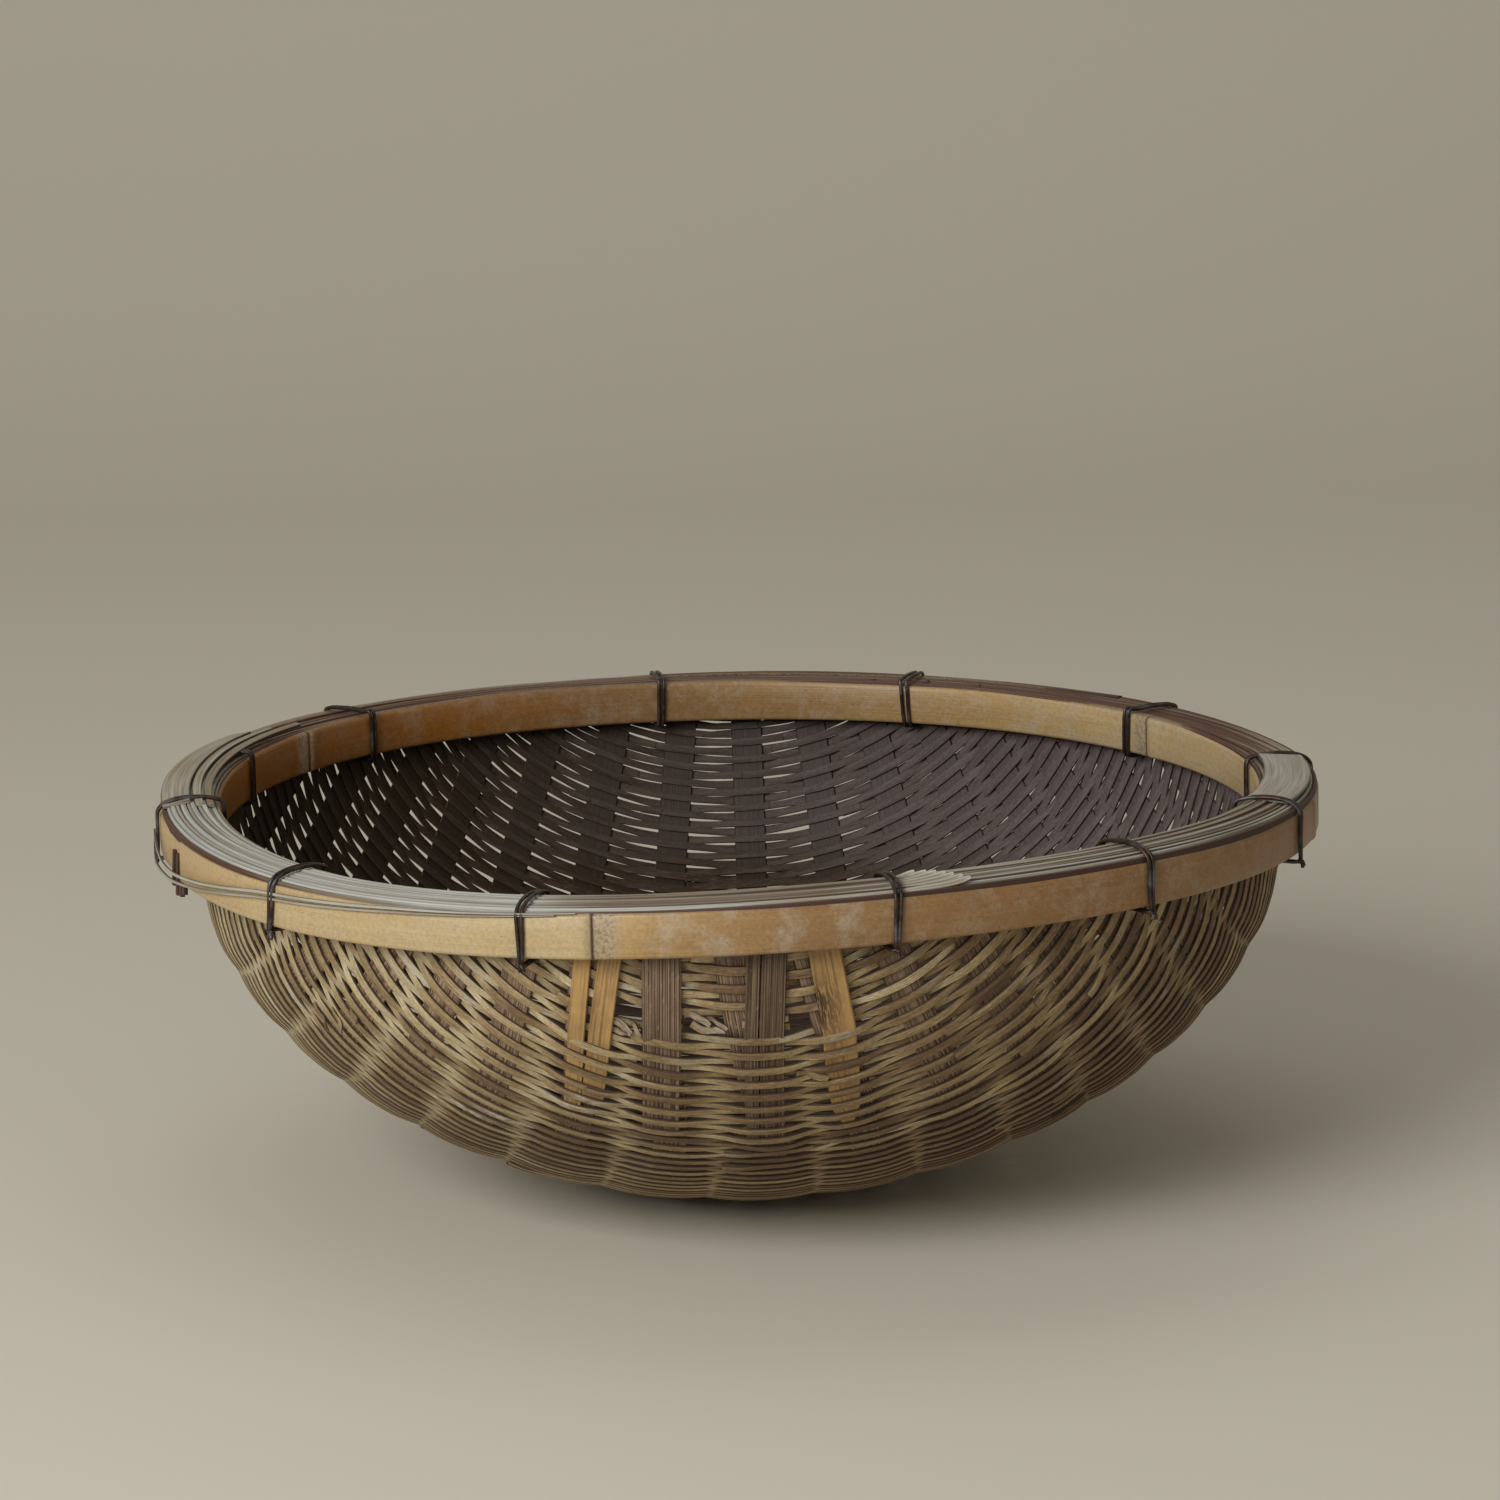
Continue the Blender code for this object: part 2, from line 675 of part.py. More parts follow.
def make_ties(material, collection):
    for number, degrees in enumerate(TIE_ANGLES, start=1):
        curve = bpy.data.curves.new(f"wire_tie_{number:02d}", "CURVE")
        curve.dimensions = "3D"
        curve.bevel_depth = WIRE_DIAMETER / 2
        curve.bevel_resolution = 1
        curve.use_fill_caps = True
        path = tie_path()
        spline = curve.splines.new("POLY")
        spline.points.add(len(path) - 1)
        for point, (radius, sideways, height) in zip(spline.points, path):
            point.co = (radius, sideways, height, 1.0)
        curve.materials.append(material)
        tie = bpy.data.objects.new(f"wire_tie_{number:02d}", curve)
        tie.rotation_euler = (0.0, 0.0, math.radians(degrees))
        collection.objects.link(tie)


def make_tie_passages(collection):
    """Cutter: the slits in the weave through which the ties pass under the hoops."""
    strand = WIRE_DIAMETER + FIT_GAP
    wide = 2 * strand + 2 * FIT_GAP
    tall = 2 * strand + 2 * FIT_GAP
    deep = SLOT_WIDTH + OUTER_HOOP_WALL
    height = HOOP_BOTTOM - FIT_GAP - strand
    build = bmesh.new()
    for degrees in TIE_ANGLES:
        box = bmesh.ops.create_cube(build, size=1.0)["verts"]
        bmesh.ops.scale(build, vec=(deep, wide, tall), verts=box)
        bmesh.ops.translate(build, vec=(WALL_RADIUS, 0.0, height), verts=box)
        turn = Matrix.Rotation(math.radians(degrees), 3, "Z")
        bmesh.ops.rotate(build, cent=(0, 0, 0), matrix=turn, verts=box)
    mesh = bpy.data.meshes.new("tie_passages")
    build.to_mesh(mesh)
    build.free()
    cutter = bpy.data.objects.new("tie_passages", mesh)
    cutter.hide_render = True
    cutter.display_type = "WIRE"
    collection.objects.link(cutter)
    return cutter


def main():
    clear_scene()
    basket = make_collection("zaru_basket")
    cutters = make_collection("cutters")
    bamboo_skin = make_material("split bamboo skin", (0.52, 0.30, 0.12), 0.42)
    bamboo_weft = make_material("woven bamboo split", (0.42, 0.26, 0.12), 0.60)
    bamboo_rib = make_material("bamboo rib", (0.34, 0.21, 0.11), 0.60)
    bamboo_pith = make_material("weathered bamboo pith", (0.56, 0.51, 0.42), 0.75)
    wire = make_material("dark steel wire", (0.06, 0.045, 0.04), 0.45, 0.8)

    passages = make_tie_passages(cutters)
    woven = [make_rib(number, place, bamboo_rib, basket)
             for number, place in enumerate(RIB_PLACES, start=1)]
    woven += [make_weft(number, courses, bamboo_weft, basket)
              for number, courses in enumerate(strip_courses(), start=1)]
    for strip in woven:
        cut = strip.modifiers.new("tie passages", "BOOLEAN")
        cut.operation = "DIFFERENCE"
        cut.solver = "EXACT"
        cut.object = passages

    make_hoops(bamboo_skin, basket)
    make_fillers(bamboo_pith, basket)
    make_ties(wire, basket)


main()
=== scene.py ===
# Round bamboo draining basket: fine plain weave over flat ribs, split hoops, splints and wire ties.
import math
import bpy
import numpy as np
from mathutils import Matrix, Vector


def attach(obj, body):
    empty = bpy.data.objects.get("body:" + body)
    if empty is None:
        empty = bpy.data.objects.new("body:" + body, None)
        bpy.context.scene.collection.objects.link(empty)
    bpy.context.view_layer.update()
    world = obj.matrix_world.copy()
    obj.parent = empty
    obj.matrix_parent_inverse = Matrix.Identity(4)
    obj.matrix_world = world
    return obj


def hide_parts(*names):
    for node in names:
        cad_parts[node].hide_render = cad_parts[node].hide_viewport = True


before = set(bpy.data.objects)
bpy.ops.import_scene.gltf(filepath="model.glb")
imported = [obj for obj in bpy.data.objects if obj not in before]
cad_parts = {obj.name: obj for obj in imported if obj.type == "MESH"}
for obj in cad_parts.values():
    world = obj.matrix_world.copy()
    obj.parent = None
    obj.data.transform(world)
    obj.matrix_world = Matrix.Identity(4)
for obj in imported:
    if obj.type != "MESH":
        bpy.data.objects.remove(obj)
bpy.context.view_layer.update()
millimetre = 0.001
chance = np.random.default_rng(4)
print("frame loaded")


# Colours and nodes

def srgb(code):
    parts = [int(code[place:place + 2], 16) / 255 for place in (1, 3, 5)]
    return tuple(part / 12.92 if part <= 0.04045 else ((part + 0.055) / 1.055) ** 2.4 for part in parts) + (1.0,)


# Adds one node; a link is given as the name of an earlier node, or as its name and output
def addNode(tree, made, name, kind, settings=None, links=None):
    node = made[name] = tree.nodes.new("ShaderNode" + kind)
    for key, value in (settings or {}).items():
        if key == "stops":
            points = node.color_ramp.elements
            while len(points) < len(value):
                points.new(0.5)
            for point, (place, colour) in zip(points, value):
                point.position = place
                point.color = srgb(colour) if isinstance(colour, str) else (colour, colour, colour, 1.0)
        elif isinstance(key, int) or key in node.inputs:
            node.inputs[key].default_value = srgb(value) if isinstance(value, str) else value
        else:
            setattr(node, key, value)
    for key, source in (links or {}).items():
        other, output = source if isinstance(source, tuple) else (source, 0)
        tree.links.new(made[other].outputs[output], node.inputs[key])


# A material from a table of nodes; settings and links of the shader come last
def makeMaterial(name, nodes, settings, links):
    material = bpy.data.materials.new(name)
    material.use_nodes = True
    tree = material.node_tree
    shader = tree.nodes["Principled BSDF"]
    made = {}
    for row in nodes:
        addNode(tree, made, *row)
    for key, value in settings.items():
        shader.inputs[key].default_value = srgb(value) if isinstance(value, str) else value
    for key, (other, output) in links.items():
        tree.links.new(made[other].outputs[output], shader.inputs[key])
    return material


# The bowl, as in the solids

bowl = {
    "rimRadius": 0.170, "height": 0.117, "footRadius": 0.030, "ribFocus": 0.290, "outerWall": 0.0045,
    "innerWall": 0.0037, "slot": 0.0098, "wallShare": 0.46, "hoopHeight": 0.0122, "fullness": 1.464,
    "rise": 0.434, "floorLift": 0.0016, "outerRib": 0.786, "turn": 1.2,
    "warp": (-0.34, -1.95, -0.98, 0.51),      # the rim is out of true: cosine and sine of 2 and 3 turns, in mm
    "ribShares": (0.151, 0.301, 0.446, 0.582, 0.712, 0.849, 1.0),
    # how far the middle ribs lean aside, by the distance along them from the middle
    "leanPlaces": (-0.215, -0.205, -0.150, -0.130, -0.060, 0.0, 0.06, 0.12, 0.20),
    "leanSlopes": (-0.036, -0.031, 0.012, 0.016, 0.010, 0.0, 0.009, 0.022, 0.031),
}
wallRadius = bowl["rimRadius"] - bowl["outerWall"] - bowl["slot"] * (1 - bowl["wallShare"])
boreRadius = bowl["rimRadius"] - bowl["outerWall"] - bowl["slot"] - bowl["innerWall"]
hoopBottom = bowl["height"] - bowl["hoopHeight"]
outerSlope = wallRadius * bowl["outerRib"] / (bowl["ribFocus"] - bowl["height"])
ribSlopes = np.array([-share for share in reversed(bowl["ribShares"])] + [0.0] + list(bowl["ribShares"])) * outerSlope


def bowlHeight(radius):
    share = np.clip((radius - bowl["footRadius"]) / (wallRadius - bowl["footRadius"]), 0, 1)
    drop = bowl["height"] - bowl["floorLift"]
    return bowl["height"] - drop * (1 - share ** bowl["fullness"]) ** bowl["rise"]


heightSamples = bowlHeight(np.linspace(bowl["footRadius"], wallRadius, 4000))


def radiusAt(height):
    return np.interp(height, heightSamples, np.linspace(bowl["footRadius"], wallRadius, 4000))


def outwardAt(points):
    radius = np.maximum(np.hypot(points[..., 0], points[..., 1]), 1e-6)
    share = np.clip((radius - bowl["footRadius"]) / (wallRadius - bowl["footRadius"]), 0, 0.9995)
    steep = bowl["rise"] * (1 - share ** bowl["fullness"]) ** (bowl["rise"] - 1)
    steep = steep * bowl["fullness"] * share ** (bowl["fullness"] - 1)
    steep = steep * (bowl["height"] - bowl["floorLift"]) / (wallRadius - bowl["footRadius"])
    normal = np.stack([steep * points[..., 0] / radius, steep * points[..., 1] / radius, -np.ones_like(radius)], -1)
    return normal / np.linalg.norm(normal, axis=-1, keepdims=True)


# Wall points on a grid of rib-plane slopes and distances from the middle line y = 0
def makeWallTable():
    slopes = np.linspace(0, 0.925, 371)[:, None]
    endX = (bowl["ribFocus"] - bowl["height"]) * slopes
    endY = np.sqrt(np.maximum(wallRadius ** 2 - endX ** 2, 0))
    run = np.linspace(0, 1, 321)[None, :]
    y = endY * (1 - (1 - run) ** 3)
    low = np.zeros_like(y)
    high = np.full_like(y, wallRadius)
    for _ in range(36):
        middle = (low + high) / 2
        beyond = middle > (bowl["ribFocus"] - bowlHeight(np.hypot(middle, y))) * slopes
        high = np.where(beyond, middle, high)
        low = np.where(beyond, low, middle)
    x = (low + high) / 2
    z = bowlHeight(np.hypot(x, y))
    steps = np.sqrt(np.diff(x) ** 2 + np.diff(y) ** 2 + np.diff(z) ** 2)
    along = np.concatenate([np.zeros((len(slopes), 1)), np.cumsum(steps, axis=1)], axis=1)
    places = np.linspace(0, 0.225, 901)
    table = np.stack([[np.interp(places, along[row], part[row]) for row in range(len(slopes))]
                      for part in (x, y, z)], -1)
    top = bowl["height"] - 3.5 * millimetre
    lengths = np.array([np.interp(top, z[row], along[row]) if z[row, 0] < top else 0.0 for row in range(len(slopes))])
    return table, slopes[:, 0], lengths


wallTable, tableSlopes, endLengths = makeWallTable()


def wallAt(slope, along):
    slope, along = np.broadcast_arrays(slope, along)
    row = np.clip(np.abs(slope) / 0.925 * 370, 0, 369.999)
    column = np.clip(np.abs(along) / 0.225 * 900, 0, 899.999)
    down, left = row.astype(int), column.astype(int)
    partRow, partColumn = (row - down)[..., None], (column - left)[..., None]
    near = wallTable[down, left] * (1 - partColumn) + wallTable[down, left + 1] * partColumn
    far = wallTable[down + 1, left] * (1 - partColumn) + wallTable[down + 1, left + 1] * partColumn
    points = near * (1 - partRow) + far * partRow
    points[..., 0] *= np.sign(slope)
    points[..., 1] *= np.sign(along)
    return points


def leaned(slope, along):
    lean = np.interp(along, bowl["leanPlaces"], bowl["leanSlopes"])
    return slope + lean * np.maximum(0, 1 - (slope / 0.55) ** 2)


# The rim of the real basket isn't flat: all the pieces follow it, least at the foot
def settled(points):
    out = np.array(points, dtype=float)
    around = np.arctan2(out[..., 1], out[..., 0])
    twoCos, twoSin, threeCos, threeSin = bowl["warp"]
    wave = (twoCos * np.cos(2 * around) + twoSin * np.sin(2 * around)
            + threeCos * np.cos(3 * around) + threeSin * np.sin(3 * around))
    height = np.clip(out[..., 2] / bowl["height"], 0, 1.05)
    spread = np.clip(np.hypot(out[..., 0], out[..., 1]) / 0.12, 0, 1)
    out[..., 2] += wave * millimetre * height ** 1.5 * spread
    return out


def endSlope(along):
    return np.interp(np.abs(along), endLengths[::-1], tableSlopes[::-1])


def turned(points):
    angle = math.radians(bowl["turn"])
    out = np.array(points)
    out[..., 0] = points[..., 0] * math.cos(angle) - points[..., 1] * math.sin(angle)
    out[..., 1] = points[..., 0] * math.sin(angle) + points[..., 1] * math.cos(angle)
    return out


# Strips: every one is a run of sections of one outline

flatOutline = ((-0.5, 0.0), (-0.40, 0.5), (0.40, 0.5), (0.5, 0.0), (0.40, -0.5), (-0.40, -0.5))


def unit(vectors):
    return vectors / np.maximum(np.linalg.norm(vectors, axis=-1, keepdims=True), 1e-9)


# Gathers the strips of one piece, then makes its mesh with a UV map in metres
class StripMesh:
    def __init__(self):
        self.points, self.faces, self.flats, self.values = [], [], [], {}
        self.count = 0

    def add(self, centres, outward, width, thick, values=None, outline=flatOutline, shift=0.0, tilt=0.0):
        count, corners = len(centres), len(outline)
        course = unit(np.gradient(centres, axis=0))
        normal = unit(outward - (outward * course).sum(-1, keepdims=True) * course)
        across = np.cross(course, normal)
        tilt = np.broadcast_to(tilt, (count,))[:, None]
        across, normal = across * np.cos(tilt) + normal * np.sin(tilt), normal * np.cos(tilt) - across * np.sin(tilt)
        sideways = np.array([point[0] for point in outline])
        upward = np.array([point[1] for point in outline])
        width = np.broadcast_to(width, (count,))[:, None]
        thick = np.broadcast_to(thick, (count,))[:, None]
        rings = (centres[:, None, :] + across[:, None, :] * (sideways * width)[..., None]
                 + normal[:, None, :] * (upward * thick)[..., None])
        self.points.append(rings.reshape(-1, 3))
        run = np.concatenate([[0], np.cumsum(np.linalg.norm(np.diff(centres, axis=0), axis=1))]) + shift
        place = np.arange(corners)
        first = (np.arange(count - 1)[:, None] * corners + place[None, :])
        second = (np.arange(count - 1)[:, None] * corners + np.roll(place, -1)[None, :])
        quads = np.stack([first, second, second + corners, first + corners], -1).reshape(-1, 4) + self.count
        self.faces += quads.tolist()
        girth = np.concatenate([[0], np.cumsum(np.hypot(np.diff(sideways * width.mean(), append=sideways[0] * width.mean()),
                                                        np.diff(upward * thick.mean(), append=upward[0] * thick.mean())))])
        low, high = girth[:-1], girth[1:]
        flat = np.zeros((count - 1, corners, 4, 2))
        flat[..., 0, 0] = flat[..., 1, 0] = run[:-1, None]
        flat[..., 2, 0] = flat[..., 3, 0] = run[1:, None]
        flat[..., 0, 1] = flat[..., 3, 1] = low[None, :] + shift
        flat[..., 1, 1] = flat[..., 2, 1] = high[None, :] + shift
        self.flats.append(flat.reshape(-1, 2))
        for ring, start in ((place[::-1], 0), (place, (count - 1) * corners)):
            self.faces.append((ring + start + self.count).tolist())
            cap = np.stack([sideways[ring] * width.mean() + shift, upward[ring] * thick.mean() + shift], -1)
            self.flats.append(cap)
        for name, value in (values or {}).items():
            full = np.broadcast_to(value if np.ndim(value) == 2 else np.reshape(value, (-1, 1)), (count, corners))
            self.values.setdefault(name, []).append(full.reshape(-1))
        self.count += count * corners

    def make(self, name, material, sharp=40, smooth=True):
        mesh = bpy.data.meshes.new(name)
        mesh.from_pydata(settled(np.concatenate(self.points)).tolist(), [], self.faces)
        flats = mesh.uv_layers.new(name="strip")
        flats.data.foreach_set("uv", np.concatenate(self.flats).astype(np.float32).ravel())
        for key, parts in self.values.items():
            layer = mesh.attributes.new(key, "FLOAT", "POINT")
            layer.data.foreach_set("value", np.concatenate(parts).astype(np.float32))
        mesh.update()
        mesh.materials.append(material)
        piece = bpy.data.objects.new(name, mesh)
        bpy.context.scene.collection.objects.link(piece)
        if smooth:
            bpy.ops.object.select_all(action="DESELECT")
            piece.select_set(True)
            bpy.context.view_layer.objects.active = piece
            bpy.ops.object.shade_smooth_by_angle(angle=math.radians(sharp))
        return piece


def standsFor(piece, slot, *nodes):
    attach(piece, "root")
    if nodes:
        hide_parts(*nodes)


# Materials. The UV map "strip" is in metres along and across a strip, so a mapping of 1000 / size in
# millimetres gives a noise of that size; Fac of an attribute is a value stored on the mesh

weftLook = {
    "colours": ((0.0, "#d2c199"), (0.25, "#b59e74"), (0.50, "#8d7250"), (0.75, "#64492e"), (1.0, "#38240f")),
    # inner is partly painted shade of the bowl's inside, innerSheen a painted sheen, edge partly painted shade in the
    # gaps
    "inner": "#3a2a1a", "innerSheen": "#746868", "edge": "#4b3c30", "worn": "#c4beae", "grime": "#5e524c",
}

# Split bamboo, shaved flat and unvarnished: matt straw going brown with dirt and painted shade, paler with painted
# light on the foot and high at the left, fibres 0.3 mm wide along it, dark violet-grey side faces, partly their own
# colour and partly painted shade in the gaps, grime on what stands proud, pale scuffed places, and a dark inside,
# partly painted shade, with a painted mauve-grey sheen high at the right
weftMaterial = makeMaterial("splitBambooWeft", (
    ("flat", "UVMap", {"uv_map": "strip"}),
    ("age", "Attribute", {"attribute_name": "age"}),
    ("worn", "Attribute", {"attribute_name": "worn"}),
    ("edge", "Attribute", {"attribute_name": "edge"}),
    ("inner", "Attribute", {"attribute_name": "inner"}),
    ("fibreSize", "Mapping", {"Scale": (90, 3400, 1)}, {0: "flat"}),
    ("fibre", "TexNoise", {"Scale": 1.0, "Detail": 3.0, "Roughness": 0.65}, {0: "fibreSize"}),
    ("patchSize", "Mapping", {"Location": (3.1, 7.0, 0), "Scale": (45, 300, 1)}, {0: "flat"}),
    ("patch", "TexNoise", {"Scale": 1.0, "Detail": 2.0, "Roughness": 0.6}, {0: "patchSize"}),
    ("grimeSize", "Mapping", {"Location": (1.4, 2.0, 0), "Scale": (260, 900, 1)}, {0: "flat"}),
    ("grime", "TexNoise", {"Scale": 1.0, "Detail": 5.0, "Roughness": 0.7}, {0: "grimeSize"}),
    ("fleckSize", "Mapping", {"Location": (6.0, 3.0, 0), "Scale": (700, 1900, 1)}, {0: "flat"}),
    ("fleck", "TexNoise", {"Scale": 1.0, "Detail": 3.0, "Roughness": 0.7}, {0: "fleckSize"}),
    ("vary", "Math", {"operation": "MULTIPLY_ADD", 1: 0.50, 2: -0.25}, {0: "patch"}),
    # the ramp's value carries dirt and ageing, with painted shade and painted light mixed in
    ("tint", "Math", {"operation": "ADD"}, {0: ("age", "Fac"), 1: "vary"}),
    ("outside", "ValToRGB", {"stops": weftLook["colours"]}, {0: "tint"}),
    # the inner faces: a dark colour that is partly painted shade, with a painted mauve-grey sheen
    ("sheenAt", "Math", {"operation": "MULTIPLY_ADD", 1: 0.9}, {0: "patch", 2: ("inner", "Fac")}),
    ("sheenFrom", "MapRange", {1: 1.55, 2: 2.65}, {0: "sheenAt"}),
    ("inside", "Mix", {"data_type": "RGBA", 6: weftLook["inner"], 7: weftLook["innerSheen"]}, {0: "sheenFrom"}),
    ("isInner", "Math", {"operation": "MINIMUM", 1: 1.0}, {0: ("inner", "Fac")}),
    ("sides", "Mix", {"data_type": "RGBA"}, {0: "isInner", 6: ("outside", 0), 7: ("inside", 2)}),
    ("grimeShare", "MapRange", {1: 0.44, 2: 0.60, 4: 0.95}, {0: "grime"}),
    ("grimeHere", "Math", {"operation": "MULTIPLY", "use_clamp": True}, {0: "grimeShare", 1: ("age", "Fac")}),
    ("grimy", "Mix", {"data_type": "RGBA", 7: weftLook["grime"]}, {0: "grimeHere", 6: ("sides", 2)}),
    ("streak", "ValToRGB", {"stops": ((0.32, 0.34), (0.50, 0.86), (0.64, 1.0))}, {0: "fibre"}),
    ("fibrous", "Mix", {"data_type": "RGBA", "blend_type": "MULTIPLY", 0: 0.8}, {6: ("grimy", 2), 7: "streak"}),
    ("fleckShade", "MapRange", {1: 0.36, 2: 0.62, 3: 0.66, 4: 1.12}, {0: "fleck"}),
    ("flecked", "Mix", {"data_type": "RGBA", "blend_type": "MULTIPLY", 0: 0.85}, {6: ("fibrous", 2), 7: "fleckShade"}),
    ("scuff", "MapRange", {1: 0.42, 2: 0.54, 4: 0.9}, {0: "grime"}),
    ("scuffed", "Math", {"operation": "MULTIPLY"}, {0: ("worn", "Fac"), 1: "scuff"}),
    ("isOuter", "Math", {"operation": "SUBTRACT", 0: 1.0}, {1: "isInner"}),
    ("scuffedOut", "Math", {"operation": "MULTIPLY"}, {0: "scuffed", 1: "isOuter"}),
    ("rubbed", "Mix", {"data_type": "RGBA", 7: weftLook["worn"]}, {0: "scuffedOut", 6: ("flecked", 2)}),
    # the side faces darkened: partly their own colour, partly painted shade in the gaps between wefts
    ("edgeShare", "Math", {"operation": "MULTIPLY", 1: 0.88}, {0: ("edge", "Fac")}),
    ("edged", "Mix", {"data_type": "RGBA", 7: weftLook["edge"]}, {0: "edgeShare", 6: ("rubbed", 2)}),
    ("bump", "Bump", {"Strength": 1.0, "Distance": 0.00014}, {"Height": "fibre"}),
), {"Roughness": 0.62, "Specular IOR Level": 0.28}, {"Base Color": ("edged", 2), "Normal": ("bump", 0)})

# inner is partly painted shade of the bowl's inside, innerSheen a painted sheen
ribLook = {"dark": "#453325", "light": "#a08b70", "inner": "#2e2216", "innerSheen": "#605452", "tan": "#b8945f",
           "tanDark": "#8a6841", "stain": "#3b2a20", "grime": "#4a3b30", "speck": "#b5a38b"}

# Bamboo rib, split through the culm wall: open pale and dark vessels 0.4 mm apart run its whole length;
# the tan ones show the culm's skin; the inner faces are dark, partly painted shade, with a painted mauve-grey sheen
ribMaterial = makeMaterial("bambooRib", (
    ("flat", "UVMap", {"uv_map": "strip"}),
    ("where", "TexCoord", {}),
    ("tan", "Attribute", {"attribute_name": "tan"}),
    ("stain", "Attribute", {"attribute_name": "stain"}),
    ("inner", "Attribute", {"attribute_name": "inner"}),
    ("vesselSize", "Mapping", {"Scale": (15, 2400, 1)}, {0: "flat"}),
    ("vessel", "TexNoise", {"Scale": 1.0, "Detail": 2.5, "Roughness": 0.6}, {0: "vesselSize"}),
    ("skinSize", "Mapping", {"Location": (4.0, 1.0, 0), "Scale": (26, 1100, 1)}, {0: "flat"}),
    ("skin", "TexNoise", {"Scale": 1.0, "Detail": 4.0, "Roughness": 0.6}, {0: "skinSize"}),
    ("speckSize", "Mapping", {"Location": (2.0, 5.0, 0), "Scale": (300, 1500, 1)}, {0: "flat"}),
    ("speck", "TexNoise", {"Scale": 1.0, "Detail": 3.0, "Roughness": 0.6}, {0: "speckSize"}),
    ("cloud", "TexNoise", {"Scale": 80.0, "Detail": 3.0, "Roughness": 0.6}, {0: ("where", "Object")}),
    ("brown", "ValToRGB", {"stops": ((0.38, ribLook["dark"]), (0.50, "#7a6351"), (0.62, ribLook["light"]))}, {0: "vessel"}),
    ("tanned", "ValToRGB", {"stops": ((0.34, ribLook["tanDark"]), (0.52, ribLook["tan"]))}, {0: "skin"}),
    ("base", "Mix", {"data_type": "RGBA"}, {0: ("tan", "Fac"), 6: "brown", 7: "tanned"}),
    ("cloudShare", "MapRange", {1: 0.42, 2: 0.78, 4: 0.55}, {0: "cloud"}),
    ("clouded", "Mix", {"data_type": "RGBA", 7: ribLook["grime"]}, {0: "cloudShare", 6: ("base", 2)}),
    ("speckShare", "MapRange", {1: 0.60, 2: 0.68, 4: 0.45}, {0: "speck"}),
    ("specked", "Mix", {"data_type": "RGBA", 7: ribLook["speck"]}, {0: "speckShare", 6: ("clouded", 2)}),
    ("stainEdge", "MapRange", {1: 0.42, 2: 0.50, 3: 0.2}, {0: "speck"}),
    ("stainShare", "Math", {"operation": "MULTIPLY", "use_clamp": True}, {0: ("stain", "Fac"), 1: "stainEdge"}),
    ("stained", "Mix", {"data_type": "RGBA", 7: ribLook["stain"]}, {0: "stainShare", 6: ("specked", 2)}),
    # painted shade on the inner faces, with a painted mauve-grey sheen high up at the right
    ("sheenShare", "MapRange", {1: 1.1, 2: 2.2}, {0: ("inner", "Fac")}),
    ("inside", "Mix", {"data_type": "RGBA", 6: ribLook["inner"], 7: ribLook["innerSheen"]}, {0: "sheenShare"}),
    ("vesselShade", "MapRange", {1: 0.36, 2: 0.62, 3: 0.55, 4: 1.1}, {0: "vessel"}),
    ("insideLined", "Mix", {"data_type": "RGBA", "blend_type": "MULTIPLY", 0: 0.8}, {6: ("inside", 2), 7: "vesselShade"}),
    ("isInner", "Math", {"operation": "MINIMUM", 1: 1.0}, {0: ("inner", "Fac")}),
    ("sides", "Mix", {"data_type": "RGBA"}, {0: "isInner", 6: ("stained", 2), 7: ("insideLined", 2)}),
    ("bump", "Bump", {"Strength": 1.0, "Distance": 0.00018}, {"Height": "vessel"}),
), {"Roughness": 0.62, "Specular IOR Level": 0.28}, {"Base Color": ("sides", 2), "Normal": ("bump", 0)})

# the ramp from straw to amber carries painted light and shade; amber, its top, is painted warm bounce light, most on
# the inner hoop's shaded side
hoopLook = {
    "straw": "#cfc09a", "tan": "#b79765", "brown": "#8e6c45", "amber": "#a0620c", "grey": "#b3aa9a",
    "groove": "#46301f", "stain": "#4b3b2c", "bandDark": "#7c6b57", "bandLight": "#ab9a80", "pith": "#4a3628", "pithLight": "#8b7458",
}
